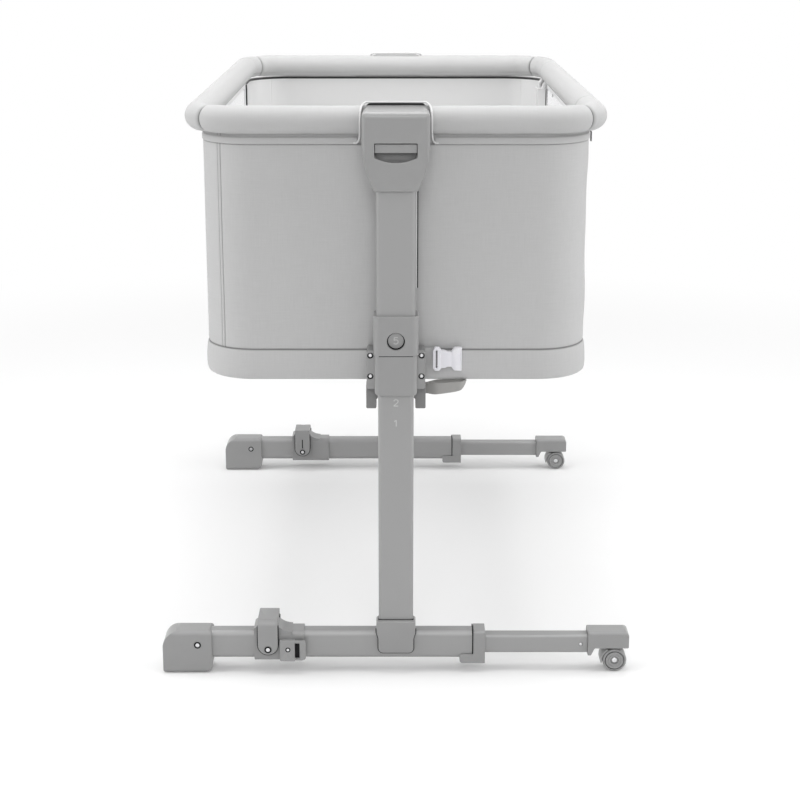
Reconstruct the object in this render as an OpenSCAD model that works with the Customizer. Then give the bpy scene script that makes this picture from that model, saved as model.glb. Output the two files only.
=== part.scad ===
// Bedside sleeper crib: a cloth basket between two telescopic legs on sliding feet.
// Millimetres. X runs from the foot caps (-) to the casters (+), Y along the basket, Z up.
// The origin is the middle of the floor under the crib. Pieces of the near end (-Y) are
// drawn once and mirrored to the far end.

/* [Overall] */
// Distance between the centres of the two columns
column_span = 900; // [860:10:960]
// Length of one foot, from the cap's end to the wheel cap's end
foot_l = 680; // [660:10:740]
// Height of the rail's centre line above the floor
rail_z = 803; // [790:1:840]
// Height of the basket's underside above the floor
basket_z = 433; // [420:1:445]

/* [Rail] */
// Width between the centre lines of the long rails
rail_w = 554; // [520:2:600]
// Distance from a column's centre to the end rail's centre line
rail_setback = 30; // [29:0.5:32]
// Radius of the rail's corners, on the centre line
rail_corner_r = 61; // [50:1:80]
// Diameter of the foam pad round the rail
pad_d = 38; // [34:0.5:40]
// Diameter of the steel rail tube
rail_tube_d = 22; // [18:0.5:24]
// Wall of the round steel tubes
round_wall = 1.5; // [1:0.1:2]
// Straight run of the long rail between a corner and the section that drops
corner_run = 71; // [60:1:100]
// How far that section drops
drop_travel = 140; // [80:5:170]

/* [Basket] */
// Thickness of the padded cloth walls
cloth_t = 3; // [2:0.1:4]
// Thickness of the mesh sides
mesh_t = 1.5; // [1:0.1:2]
// How far the cloth's outer face lies inside the long rails' centre lines
side_inset = 5; // [4:0.5:6]
// How far the cloth's outer face lies inside the end rails' centre lines
end_inset = 3; // [2.5:0.5:4]
// Radius of the basket's corners in plan
basket_r = 70; // [64:1:84]
// Gap between the rail pad and the binding at the top of the cloth
rail_shadow = 6; // [4:0.5:8]
// Diameter of the binding along the top of the cloth
binding_d = 5; // [3:0.5:6]
// Height of the hem band round the bottom
hem_h = 43; // [38:1:50]
// How far the hem band stands out from the cloth
hem_bulge = 4; // [2:0.5:5]
// Thickness of the cloth floor
floor_t = 2; // [1:0.5:3]
// Diameter of the bottom frame's tube
base_tube_d = 18; // [14:0.5:20]
// Thickness of the base board
board_t = 3; // [2:0.5:6]
// Thickness of the mattress at its edge
mattress_t = 44; // [30:1:60]
// How far the mattress's middle crowns above its edge
mattress_crown = 7; // [2:1:12]

/* [Drop side guides] */
// Diameter of the guide posts
post_d = 8; // [6:0.5:8]
// Distance of the posts inside the long rail's centre line
post_inset = 17.5; // [17:0.5:20]
// Height of the shoes that ride on the posts
shoe_h = 30; // [20:1:40]
// Width of the zip tapes beside the mesh sides
zip_w = 8; // [6:0.5:10]

/* [Hub] */
// Width of the hub where it wraps the rail
hub_w = 93; // [84:1:100]
// Width of the hub's neck round the tube
hub_neck_w = 59; // [58:0.5:66]
// How far the hub's top stands above the rail's centre line
hub_rise = 17; // [14:0.5:18]
// How far the hub's neck hangs below the rail's centre line
hub_drop = 91; // [84:1:100]
// Radius of the hub's top corners
hub_top_r = 9.5; // [6:0.5:12]
// Radius of the hub's front edges
hub_edge_r = 6.5; // [4:0.5:7]
// Width of the finger slot in the hub
slot_w = 58; // [50:1:64]
// Height of the finger slot
slot_h = 26; // [22:1:28]
// Height of the release lever
lever_h = 17; // [14:1:18]
// Travel of the release lever
lever_travel = 8; // [4:1:9]
// Diameter of the pull rod below the release lever
rod_d = 6; // [4:0.5:8]

/* [Columns] */
// Width of the lower column
column_w = 50; // [44:1:52]
// Depth of the lower column
column_d = 30; // [26:0.5:31]
// Radius of the column's edges
column_r = 6; // [3:0.5:8]
// Wall of the column and the foot tubes
tube_wall = 2; // [1.5:0.1:2.5]
// Clearance round a tube that slides in another
slide_gap = 0.5; // [0.3:0.1:0.8]
// Distance between two height settings
step_pitch = 30; // [20:1:32]
// Number of height settings
step_count = 5; // [3:1:5]
// Height of the collar with the window
collar_h = 56.5; // [50:0.5:64]
// Wall of the collar
collar_wall = 4; // [3:0.5:5]
// Diameter of the window in the collar
window_d = 25; // [18:1:28]
// Height of the clamp cover's sleeve
clamp_h = 57; // [50:1:64]
// Width across the clamp cover's wings
clamp_w = 82; // [80:1:92]
// Height of the clamp cover's wings
wing_h = 54; // [48:1:58]
// Length of the bracket's prongs below the wings
prong_l = 33; // [20:1:40]
// Diameter of the clamp screws' heads
screw_head_d = 6.6; // [5:0.2:7.4]
// Distance between the upper and lower clamp screws
screw_pitch = 30; // [24:1:34]

/* [Feet] */
// Height of the outer foot tube
foot_tube_h = 43; // [40:1:46]
// Thickness of the outer foot tube
foot_tube_t = 26; // [24:0.5:27]
// Radius of the foot tube's edges
foot_tube_r = 8; // [5:0.5:10]
// Height of the foot tube's underside above the floor
foot_tube_z = 21; // [20:0.5:24]
// Distance from the column's centre to the end of the foot collar
foot_reach = 130; // [120:1:140]
// Height of the inner foot tube
inner_tube_h = 28; // [26:1:31]
// How far the inner foot tube slides in
foot_travel = 110; // [60:5:120]
// Length of the foot cap
cap_l = 72; // [64:1:80]
// Height of the foot cap
cap_h = 66; // [66:1:72]
// Thickness of the foot cap
cap_t = 36; // [32:0.5:40]
// Radius of the foot cap's upper end corner
cap_r = 26; // [16:1:30]
// Width of the socket that holds the column
socket_w = 57; // [56:0.5:60]
// How far the socket's cheeks reach down the foot tube
socket_drop = 31; // [24:1:36]
// How far the socket stands above the foot tube
socket_rise = 20; // [14:1:26]
// Length of the foot collar's band
foot_collar_l = 17; // [14:1:20]
// How far the collar's toe reaches back below the tube
toe_l = 20; // [12:1:26]
// Height of the collar's toe
toe_h = 14; // [11:0.5:15]

/* [Pedal lock] */
// Distance from the foot cap's end to the pedal's pivot
pedal_setback = 154; // [150:1:164]
// Height of the pedal's pivot above the floor
pedal_z = 40; // [38:0.5:44]
// Width of the pedal
pedal_w = 29; // [24:1:30]
// Height of the pedal's top above the floor
pedal_top = 85; // [84:0.5:92]
// Wall of the pedal
pedal_wall = 6; // [4:0.5:7]
// Radius of the lock bracket's hump, about the pivot
hump_r = 36.5; // [33:0.5:37]
// Length of the lock bracket
bracket_l = 72.5; // [70:0.5:80]
// Wall of the lock bracket
bracket_wall = 4; // [3:0.5:5]
// Width of the strap slot in the lock bracket
strap_slot_w = 7; // [5:0.5:8]

/* [Casters] */
// Diameter of the wheels
wheel_d = 35; // [32:0.5:36]
// Thickness of one wheel
wheel_t = 9; // [7:0.5:10]
// Thickness of the caster's web between the wheels
web_t = 5; // [4:0.5:6]
// Distance from the swivel axis to the wheels' axle
trail = 8; // [4:0.5:8]
// Diameter of the swivel stem
stem_d = 8; // [6:0.5:9]
// Length of the wheel cap
wheel_cap_l = 60; // [58:1:70]
// Height of the wheel cap above its lower edge
wheel_cap_h = 26; // [25:0.5:30]
// Width of the wheel cap
wheel_cap_t = 30; // [28:0.5:34]

/* [Strap] */
// Width of the webbing
webbing_w = 30; // [20:1:32]
// Thickness of the webbing
webbing_t = 1.5; // [1:0.1:2]
// Length of the buckle
buckle_l = 41; // [36:1:46]
// Thickness of the buckle
buckle_t = 9; // [7:0.5:10]

/* [Hidden] */
$fn = 64;

// Colours
SHELL_GREY = [0.74, 0.74, 0.74];
PAD_GREY = [0.80, 0.80, 0.80];
MESH_WHITE = [0.93, 0.93, 0.94];
PLASTIC = [0.60, 0.60, 0.60];
COATED = [0.61, 0.61, 0.61];
DARK = [0.16, 0.16, 0.17];
STEEL = [0.78, 0.78, 0.79];
WEBBING = [0.61, 0.60, 0.58];
BUCKLE = [0.88, 0.88, 0.91];
MATTRESS = [0.95, 0.95, 0.94];
BOARD = [0.70, 0.66, 0.60];

// Clearances
fit = 0.15;
seat_gap = 0.3;
run_gap = 0.05;
part_gap = 1;

// Rail
rail_x = rail_w / 2;
col_y = -column_span / 2;
rail_y = -col_y - rail_setback;
pad_low = rail_z - pad_d / 2;
seam_x = rail_x - rail_corner_r;
seam_y = rail_y - rail_corner_r;
drop_y = seam_y - corner_run;
seam_out = rail_corner_r + pad_d;

// Basket
cloth_x = rail_x - side_inset;
cloth_y = rail_y - end_inset;
cloth_top = pad_low - rail_shadow;
hem_top = basket_z + hem_h;
floor_top = basket_z + floor_t;
base_x = cloth_x - cloth_t - seat_gap - hem_bulge / 2 - base_tube_d / 2;
base_y = cloth_y - cloth_t - seat_gap - hem_bulge / 2 - base_tube_d / 2;
base_r = basket_r - (cloth_x - base_x);
base_z = floor_top + base_tube_d / 2;
board_z = base_z + base_tube_d / 2;
mattress_z = board_z + board_t;
// Height that the underside of the pad has over a point this far from its centre line
function pad_under(off) = rail_z - sqrt(pow(pad_d / 2, 2) - pow(off, 2));

// Drop side guides
post_x = rail_x - post_inset;
post_y = drop_y + post_d / 2 + 8;
post_bend_z = pad_low - 2;
shoe_top = pad_low - 9;
shoe_wall = 3;
shoe_bore_r = post_d / 2 + 0.4;
shoe_half = shoe_bore_r + shoe_wall;
shoe_arm_y = drop_y - 12;
stop_d = post_d + 5;
stop_h = 5;
shoe_arm_d = 9;

// Column
upper_w = column_w + 2 * (slide_gap + tube_wall);
upper_d = column_d + 2 * (slide_gap + tube_wall);
upper_r = column_r + 1;
clamp_top = basket_z + 48;
clamp_bottom = clamp_top - clamp_h;
wing_top = clamp_top + 4;
wing_bottom = wing_top - wing_h;
slot_drop = 26;
slot_floor = 6;
upper_top = rail_z - slot_drop - slot_h - slot_floor;
collar_top = clamp_top + collar_h;
collar_w = upper_w + 2 * collar_wall;
collar_d = upper_d + 2 * collar_wall;
window_z = clamp_top + 21;
height_travel = step_pitch * (step_count - 1);
column_top = upper_top - height_travel - 46;
lock_z = clamp_top - 17;
lock_hole_d = 9;
split_y = col_y;
hem_face = -cloth_y - hem_bulge;
bracket_back = hem_face - seat_gap;
clamp_front = col_y - column_d / 2 - slide_gap - 5.5;
wing_front = split_y - 10;
screw_x = collar_w / 2 + screw_head_d / 2 + 1;
screw_low_z = wing_bottom + 18;
boss_x = 20;
boss_r = 6.5;

// Hub
hub_front = col_y - upper_d / 2 - 6.5;
hub_back = -cloth_y - seat_gap;
hub_depth = hub_back - hub_front;
hub_top = rail_z + hub_rise;
hub_bottom = rail_z - hub_drop;
hub_flare_z = rail_z - 18;
strip_w = 8;
strip_t = 5;
strip_rise = 32;
slot_top = rail_z - slot_drop;
slot_low = slot_top - slot_h;
slot_arch = 7;
lever_low = slot_top - 13;
lever_top = lever_low + lever_h;
lever_front = hub_front + 3;
lever_back = col_y + 5;
lever_gap = 0.5;
lever_room_z = lever_top + lever_travel + 1;
rod_low = column_top + 20;

// Foot
foot_x0 = -foot_l / 2;
foot_x1 = foot_l / 2;
foot_mid_z = foot_tube_z + foot_tube_h / 2;
foot_top = foot_tube_z + foot_tube_h;
foot_tube_x0 = foot_x0 + 20;
foot_tube_x1 = foot_reach - 4;
inner_tube_t = foot_tube_t - 2 * tube_wall - 2;
inner_z0 = foot_mid_z - inner_tube_h / 2;
wheel_cap_x0 = foot_x1 - wheel_cap_l;
lip_l = 5;
lip_slope = 5.5;
inner_x1 = wheel_cap_x0 + lip_l;
inner_x0 = foot_tube_x0 + foot_travel + 5;
glide_l = 20;
socket_d = cap_t;
socket_top = foot_top + socket_rise;
column_bottom = foot_top + 2.5;
spigot_l = 40;

// Pedal lock
pivot_x = foot_x0 + pedal_setback;
bracket_x0 = pivot_x - 20.5;
bracket_x1 = bracket_x0 + bracket_l;
bracket_t = foot_tube_t + 2 * bracket_wall;
bracket_h = foot_tube_h + 3.5;
bracket_z0 = foot_tube_z - 2;
pedal_in = bracket_t / 2 + part_gap;
pedal_out = pedal_in + pedal_wall;
pin_r = 3;
pin_head_r = 4.2;

// Caster
wheel_r = wheel_d / 2;
stem_x = foot_x1 - 28;
axle_x = stem_x + trail;
wheel_cap_z = wheel_d + 2.5;
wheel_y0 = web_t / 2 + 0.8;
hood_r0 = wheel_r + 0.9;
hood_r1 = hood_r0 + 2.4;
axle_r = 2.5;
caster_w = 2 * (wheel_y0 + wheel_t);

// Strap
wing_x = clamp_w / 2;
webbing_z = hem_top - webbing_w + 1;
buckle_x0 = wing_x + 11;
buckle_z = webbing_z + webbing_w / 2 + 4;
loop_h = 15;
loop_l = 56;
loop_d = 20;
loop_turn = 6;

// Rectangle with round corners, centred
module round_rect(w, h, r) {
    square([w - 2 * r, h], center = true);
    square([w, h - 2 * r], center = true);
    for (sx = [-1, 1], sy = [-1, 1])
        translate([sx * (w / 2 - r), sy * (h / 2 - r)])
            circle(r);
}

// Section of a rectangular tube
module tube_section(w, h, r, wall) {
    difference() {
        round_rect(w, h, r);
        round_rect(w - 2 * wall, h - 2 * wall, max(r - wall, 0.5));
    }
}

// Rectangle from (x0, z0) to (x1, z1) with its own radius at each corner, from lower left round
module corner_rect(x0, z0, x1, z1, r) {
    polygon([[x0 + r[0], z0], [x1 - r[1], z0], [x1, z0 + r[1]], [x1, z1 - r[2]],
        [x1 - r[2], z1], [x0 + r[3], z1], [x0, z1 - r[3]], [x0, z0 + r[0]]]);
    centres = [[x0 + r[0], z0 + r[0]], [x1 - r[1], z0 + r[1]],
        [x1 - r[2], z1 - r[2]], [x0 + r[3], z1 - r[3]]];
    for (i = [0 : 3])
        if (r[i] > 0.1)
            translate(centres[i])
                circle(r[i]);
}

// Section of a round tube
module ring(d, wall) {
    difference() {
        circle(d = d);
        circle(d = d - 2 * wall);
    }
}

// Extrudes a section drawn in Y and Z along X
module along_x(x0, x1) {
    translate([x0, 0, 0])
        rotate([90, 0, 90])
            linear_extrude(x1 - x0)
                children();
}

// Extrudes an outline drawn in X and Z along Y
module along_y(y0, y1) {
    translate([0, y1, 0])
        rotate([90, 0, 0])
            linear_extrude(y1 - y0)
                children();
}

// Extrudes a plan along Z
module along_z(z0, z1) {
    translate([0, 0, z0])
        linear_extrude(z1 - z0)
            children();
}

// One corner of a loop, with the profile's X pointing out; side and end pick the corner
module loop_corner(hw, hl, r, side, end) {
    turn = side > 0 ? (end > 0 ? 0 : 270) : (end > 0 ? 90 : 180);
    translate([side * (hw - r), end * (hl - r), 0])
        rotate([0, 0, turn])
            rotate_extrude(angle = 90)
                translate([r, 0])
                    children();
}

// Sweeps a profile along a straight side that faces the angle a
module loop_side(reach, from, to, a) {
    rotate([0, 0, a])
        translate([reach, to, 0])
            rotate([90, 0, 0])
                linear_extrude(to - from)
                    children();
}

// Sweeps a profile round a rectangle with round corners
module loop_sweep(hw, hl, r) {
    for (side = [-1, 1], end = [-1, 1])
        loop_corner(hw, hl, r, side, end)
            children();
    for (a = [0, 180])
        loop_side(hw, r - hl, hl - r, a)
            children();
    for (a = [90, 270])
        loop_side(hl, r - hw, hw - r, a)
            children();
}

// Cylinder between two points of a plane across Y
module slanted_rod(from, to, y, d) {
    run = to - from;
    translate([from[0], y, from[1]])
        rotate([0, atan2(run[0], run[1]), 0])
            cylinder(d = d, h = norm(run));
}

// Mirrors a near piece to the far end
module at_far() {
    mirror([0, 1, 0])
        children();
}

// Everything on the near side of the plane Y = -y
module near_half(y) {
    translate([-foot_l, -column_span, 0])
        cube([2 * foot_l, column_span - y, 2 * rail_z]);
}

module rail_tube_loop() {
    translate([0, 0, rail_z])
        loop_sweep(rail_x, rail_y, rail_corner_r)
            ring(rail_tube_d, round_wall);
}

module top_frame() {
    color(COATED)
        difference() {
            rail_tube_loop();
            translate([rail_x - rail_tube_d, -drop_y - 2, rail_z - rail_tube_d])
                cube([2 * rail_tube_d, 2 * drop_y + 4, 2 * rail_tube_d]);
        }
}

// The whole foam pad, cut to the part of the plan inside these corners
module pad_part(corners) {
    intersection() {
        translate([0, 0, rail_z])
            loop_sweep(rail_x, rail_y, rail_corner_r)
                ring(pad_d, (pad_d - rail_tube_d) / 2);
        along_z(pad_low - 1, rail_z + pad_d)
            polygon(corners);
    }
}

// The seams cross the rail's corners at 45 degrees, through the centres of their arcs
module end_pad() {
    color(PAD_GREY)
        difference() {
            pad_part([[-seam_x, -seam_y], [-seam_x - seam_out, -seam_y - seam_out],
                [seam_x + seam_out, -seam_y - seam_out], [seam_x, -seam_y]]);
            translate([-hub_w / 2 - part_gap, hub_front, pad_low - 1])
                cube([hub_w + 2 * part_gap, hub_depth + part_gap, pad_d + 2]);
        }
}

module rail_pad_near() {
    end_pad();
}

module rail_pad_far() {
    at_far()
        end_pad();
}

module rail_pad_left() {
    color(PAD_GREY)
        pad_part([[-seam_x, -seam_y], [-seam_x, seam_y], [-seam_x - seam_out, seam_y + seam_out],
            [-seam_x - seam_out, -seam_y - seam_out]]);
}

module corner_pad() {
    difference() {
        pad_part([[seam_x, -seam_y], [seam_x + seam_out, -seam_y - seam_out],
            [seam_x + seam_out, -drop_y], [seam_x, -drop_y]]);
        slanted_rod([post_x, post_bend_z], [rail_x, rail_z], -post_y, post_d + 2 * seat_gap);
    }
}

module rail_pad_corners() {
    color(PAD_GREY) {
        corner_pad();
        at_far()
            corner_pad();
    }
}

module bottom_frame() {
    color(COATED)
        translate([0, 0, base_z])
            loop_sweep(base_x, base_y, base_r)
                ring(base_tube_d, round_wall);
}

module base_board() {
    color(BOARD)
        along_z(board_z, board_z + board_t)
            round_rect(2 * (post_x - post_d / 2 - 2), 2 * base_y, base_r);
}

// Rings of a mattress outline: a rounded rectangle whose inset and height follow the edge
mattress_x = post_x - shoe_half - 3;
mattress_y = base_y - 2;
mattress_r = 50;
mattress_arc = 6;
function mattress_ring(inset, z) = [
    for (q = [0 : 3], k = [0 : mattress_arc])
        let (a = 90 * q + 90 * k / mattress_arc)
        let (sx = (q == 0 || q == 3) ? 1 : -1)
        let (sy = q < 2 ? 1 : -1)
        [sx * (mattress_x - mattress_r) + (mattress_r - inset) * cos(a),
            sy * (mattress_y - mattress_r) + (mattress_r - inset) * sin(a), z]];

// The edge bows in at mid height, and the top rises to its crown
module mattress() {
    rows = concat(
        [[4, 0], [1, 0.12], [0, 0.3], [1.5, 0.5], [0, 0.7], [1, 0.88], [4, 1]],
        [for (k = [1 : 5])
            [4 + (mattress_r - 6) * k / 5, 1 + (mattress_crown / mattress_t) * sin(90 * k / 5)]]);
    rings = [for (row = rows) mattress_ring(row[0], mattress_z + row[1] * mattress_t)];
    n = len(rings[0]);
    m = len(rings);
    points = [for (one = rings) each one];
    faces = concat(
        [for (i = [0 : m - 2], j = [0 : n - 1])
            each [[i * n + j, (i + 1) * n + j, (i + 1) * n + (j + 1) % n],
                [i * n + j, (i + 1) * n + (j + 1) % n, i * n + (j + 1) % n]]],
        [[for (j = [0 : n - 1]) j]],
        [[for (j = [n - 1 : -1 : 0]) (m - 1) * n + j]]);
    color(MATTRESS)
        polyhedron(points, faces, convexity = 4);
}

module basket_plan(inset) {
    round_rect(2 * (cloth_x - inset), 2 * (cloth_y - inset), basket_r - inset);
}

// The cloth wall round one end, with its binding and the edge that hangs from the rail
module end_shell() {
    hang_z = pad_under(end_inset + cloth_t - mesh_t / 2) - seat_gap;
    color(SHELL_GREY)
        intersection() {
            union() {
                difference() {
                    along_z(hem_top, cloth_top)
                        basket_plan(0);
                    along_z(hem_top - 1, cloth_top + 1)
                        basket_plan(cloth_t);
                }
                difference() {
                    along_z(cloth_top - 1, hang_z)
                        basket_plan(cloth_t - mesh_t);
                    along_z(cloth_top - 2, hang_z + 1)
                        basket_plan(cloth_t);
                }
                difference() {
                    translate([0, 0, cloth_top - binding_d / 2])
                        loop_sweep(cloth_x, cloth_y, basket_r)
                            circle(d = binding_d, $fn = 32);
                    translate([-hub_w / 2 - part_gap, hub_front, hub_bottom])
                        cube([hub_w + 2 * part_gap, hub_back + seat_gap - hub_front, hub_drop]);
                }
            }
            near_half(drop_y);
        }
}

module shell_near() {
    end_shell();
}

module shell_far() {
    at_far()
        end_shell();
}

module mesh_panel() {
    x0 = cloth_x - (cloth_t + mesh_t) / 2;
    translate([x0, -drop_y + part_gap, hem_top])
        cube([mesh_t, 2 * (drop_y - part_gap), pad_under(rail_x - x0 - mesh_t) - seat_gap - hem_top]);
}

module side_panel_left() {
    color(MESH_WHITE)
        mirror([1, 0, 0])
            mesh_panel();
}

// The drop side's mesh is slit where the shoes' arms pass
module drop_side_panel() {
    color(MESH_WHITE)
        difference() {
            mesh_panel();
            for (y = [-shoe_arm_y, shoe_arm_y])
                shoe_arm(y, shoe_arm_d + 2 * seat_gap);
        }
}

module hem_band() {
    color(SHELL_GREY)
        difference() {
            union() {
                loop_sweep(cloth_x, cloth_y, basket_r)
                    corner_rect(-cloth_t, basket_z, hem_bulge, hem_top, [0, 3.5, hem_bulge * 0.75, 0]);
                along_z(basket_z, floor_top)
                    basket_plan(cloth_t / 2);
            }
            for (end = [-1, 1], sx = [-1, 1])
                translate([sx * boss_x, end * (cloth_y - 20), base_z])
                    rotate([-90 * end, 0, 0])
                        cylinder(r = boss_r + seat_gap, h = 40);
        }
}

// A post with the collar that stops the shoe, bent at its top to meet the rail tube
module guide_post() {
    difference() {
        union() {
            translate([post_x, -post_y, base_z])
                cylinder(d = post_d, h = post_bend_z - base_z);
            translate([post_x, -post_y, shoe_top - shoe_h - drop_travel - seat_gap - stop_h])
                cylinder(d = stop_d, h = stop_h);
            translate([post_x, -post_y, post_bend_z])
                sphere(d = post_d);
            slanted_rod([post_x, post_bend_z], [rail_x, rail_z], -post_y, post_d);
        }
        translate([base_x, -post_y - post_d, base_z])
            rotate([-90, 0, 0])
                cylinder(d = base_tube_d, h = 2 * post_d);
        translate([rail_x, -post_y - post_d, rail_z])
            rotate([-90, 0, 0])
                cylinder(d = rail_tube_d, h = 2 * post_d);
    }
}

module guide_posts() {
    color(COATED) {
        guide_post();
        at_far()
            guide_post();
    }
}

module zip_tapes() {
    tape_t = 1.2;
    tape_x = cloth_x - cloth_t - tape_t / 2;
    tape_y = drop_y + seat_gap + zip_w / 2;
    color(DARK)
        for (sx = [-1, 1], end = [-1, 1])
            translate([sx * tape_x, end * tape_y, (hem_top + cloth_top) / 2])
                cube([tape_t, zip_w, cloth_top - hem_top], center = true);
}

// Front outline of the hub: square shoulders over sides that curve in to the neck
module hub_outline() {
    dx = (hub_w - hub_neck_w) / 2;
    dz = hub_flare_z - hub_bottom;
    flare_r = (dx * dx + dz * dz) / (2 * dx);
    corner_rect(-hub_w / 2, hub_flare_z, hub_w / 2, hub_top, [0, 0, hub_top_r, hub_top_r]);
    intersection() {
        translate([-hub_w / 2, hub_bottom])
            square([hub_w, dz]);
        translate([hub_w / 2 - flare_r, hub_flare_z])
            circle(flare_r, $fn = 180);
        translate([flare_r - hub_w / 2, hub_flare_z])
            circle(flare_r, $fn = 180);
    }
}

// Front outline of the finger slot, with its arched lower edge
module slot_outline() {
    arch_r = (slot_w * slot_w / 4 + slot_arch * slot_arch) / (2 * slot_arch);
    intersection() {
        corner_rect(-slot_w / 2, slot_low, slot_w / 2, slot_top, [5, 5, 1.5, 1.5]);
        translate([0, slot_low + arch_r])
            circle(arch_r, $fn = 180);
    }
}

module hub() {
    color(PLASTIC)
        difference() {
            intersection() {
                along_y(hub_front, hub_back)
                    hub_outline();
                along_z(hub_bottom, hub_top)
                    translate([-hub_w / 2, hub_front])
                        corner_rect(0, 0, hub_w, hub_depth, [hub_edge_r, hub_edge_r, 3, 3]);
                along_x(-hub_w / 2, hub_w / 2)
                    corner_rect(hub_front, hub_bottom, hub_back, hub_top, [0, 0, 2, hub_edge_r + 4]);
            }
            along_y(hub_front - 1, hub_front + 4)
                slot_outline();
            translate([-slot_w / 2, hub_front + 2, slot_low])
                cube([slot_w, lever_back + lever_gap - hub_front - 2, lever_room_z - slot_low]);
            along_z(hub_bottom - 1, upper_top)
                translate([0, col_y])
                    round_rect(upper_w + 2 * fit, upper_d + 2 * fit, upper_r);
            translate([0, col_y, upper_top - 1])
                cylinder(d = rod_d + 2, h = slot_low - upper_top + 2);
            translate([-hub_w, -rail_y, rail_z])
                rotate([0, 90, 0])
                    cylinder(d = rail_tube_d, h = 2 * hub_w);
        }
}

module hub_near() {
    hub();
}

module hub_far() {
    at_far()
        hub();
}

// Bore of the window, in front of the column
module window_hole() {
    translate([0, col_y - column_d / 2, window_z])
        rotate([90, 0, 0])
            cylinder(d = window_d, h = 20);
}

module upper_tube() {
    color(COATED)
        difference() {
            along_z(clamp_top, upper_top)
                translate([0, col_y])
                    tube_section(upper_w, upper_d, upper_r, tube_wall);
            window_hole();
        }
}

module upper_tube_near() {
    upper_tube();
}

module upper_tube_far() {
    at_far()
        upper_tube();
}

module collar() {
    color(PLASTIC)
        difference() {
            along_z(clamp_top, collar_top)
                translate([0, col_y])
                    tube_section(collar_w, collar_d, upper_r + collar_wall - 1, collar_wall - fit);
            window_hole();
        }
}

module collar_near() {
    collar();
}

module collar_far() {
    at_far()
        collar();
}

module column_channel() {
    along_z(wing_bottom - prong_l - 20, collar_top + 20)
        translate([0, col_y])
            round_rect(column_w + 2 * slide_gap, column_d + 2 * slide_gap, column_r);
}

// Where a clamp screw sits, four to an end
module at_screws() {
    for (sx = [-1, 1], k = [0, 1])
        translate([sx * screw_x, 0, screw_low_z + k * screw_pitch])
            children();
}

module clamp_cover() {
    sleeve_w = hub_neck_w;
    color(PLASTIC)
        difference() {
            union() {
                intersection() {
                    along_y(clamp_front, split_y)
                        corner_rect(-sleeve_w / 2, clamp_bottom, sleeve_w / 2, clamp_top, [5, 5, 0, 0]);
                    along_z(clamp_bottom, clamp_top)
                        corner_rect(-sleeve_w / 2, clamp_front, sleeve_w / 2, split_y, [7, 7, 0, 0]);
                }
                along_y(wing_front, split_y)
                    difference() {
                        corner_rect(-wing_x, wing_bottom, wing_x, wing_top, [3, 3, 4, 4]);
                        translate([-collar_w / 2 - seat_gap, clamp_top])
                            square([collar_w + 2 * seat_gap, 20]);
                    }
            }
            column_channel();
            at_screws()
                translate([0, wing_front - 1, 0])
                    rotate([-90, 0, 0])
                        cylinder(d = screw_head_d + 2, h = 4, $fn = 32);
            at_screws()
                translate([0, wing_front - 1, 0])
                    rotate([-90, 0, 0])
                        cylinder(d = 4, h = 20, $fn = 32);
        }
}

module clamp_cover_near() {
    clamp_cover();
}

module clamp_cover_far() {
    at_far()
        clamp_cover();
}

module rear_bracket() {
    prong_bottom = wing_bottom - prong_l;
    prong_in = column_w / 2 + 2.5;
    color(PLASTIC)
        difference() {
            union() {
                along_y(split_y, bracket_back)
                    difference() {
                        corner_rect(-wing_x, wing_bottom, wing_x, wing_top, [0, 0, 4, 4]);
                        translate([-collar_w / 2 - seat_gap, clamp_top])
                            square([collar_w + 2 * seat_gap, 20]);
                    }
                for (sx = [0, 1])
                    mirror([sx, 0, 0])
                        along_y(split_y + 4, bracket_back - 3) {
                            corner_rect(prong_in, prong_bottom, wing_x + 1, wing_bottom + 1, [2, 2, 0, 0]);
                            corner_rect(column_w / 2 + slide_gap, prong_bottom + 14, wing_x, wing_bottom + 1,
                                [2, 0, 0, 0]);
                        }
                for (sx = [-1, 1])
                    translate([sx * boss_x, bracket_back - 1, base_z])
                        rotate([-90, 0, 0])
                            cylinder(r = boss_r, h = -base_y - bracket_back + 1);
            }
            column_channel();
            at_screws()
                translate([0, split_y - 1, 0])
                    rotate([-90, 0, 0])
                        cylinder(d = 4, h = 14, $fn = 32);
            translate([-wing_x, -base_y, base_z])
                rotate([0, 90, 0])
                    cylinder(d = base_tube_d, h = clamp_w);
        }
}

module rear_bracket_near() {
    rear_bracket();
}

module rear_bracket_far() {
    at_far()
        rear_bracket();
}

module end_clamp_screws() {
    at_screws()
        translate([0, wing_front + 1, 0])
            rotate([-90, 0, 0]) {
                cylinder(d = screw_head_d, h = 2, $fn = 32);
                cylinder(d = 4, h = 20, $fn = 32);
            }
}

module clamp_screws() {
    color(STEEL) {
        end_clamp_screws();
        at_far()
            end_clamp_screws();
    }
}

module cover_strip() {
    translate([upper_w / 2 - strip_w / 2, col_y + upper_d / 2, collar_top + strip_rise])
        cube([strip_w, strip_t, hub_bottom - collar_top - strip_rise]);
}

module cover_strips() {
    color(PAD_GREY) {
        cover_strip();
        at_far()
            cover_strip();
    }
}

// The band to the buckle, and the loop of spare webbing under the basket
module strap_webbing() {
    loop_y = bracket_back - 4;
    color(WEBBING) {
        translate([wing_x, hem_face - seat_gap - webbing_t, webbing_z])
            cube([buckle_x0 + 8 - wing_x, webbing_t, webbing_w]);
        along_z(basket_z - seat_gap - loop_h, basket_z - seat_gap)
            translate([wing_x + 1 + seat_gap + loop_d / 2 * sin(loop_turn), loop_y - loop_d / 2])
                difference() {
                    webbing_outline(0);
                    webbing_outline(webbing_t);
                }
    }
}

module webbing_outline(inset) {
    rotate([0, 0, -loop_turn])
        corner_rect(inset, inset - loop_d / 2, loop_l - inset, loop_d / 2 - inset,
            [1, loop_d / 2 - inset - 0.01, loop_d / 2 - inset - 0.01, 1]);
}

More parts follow.
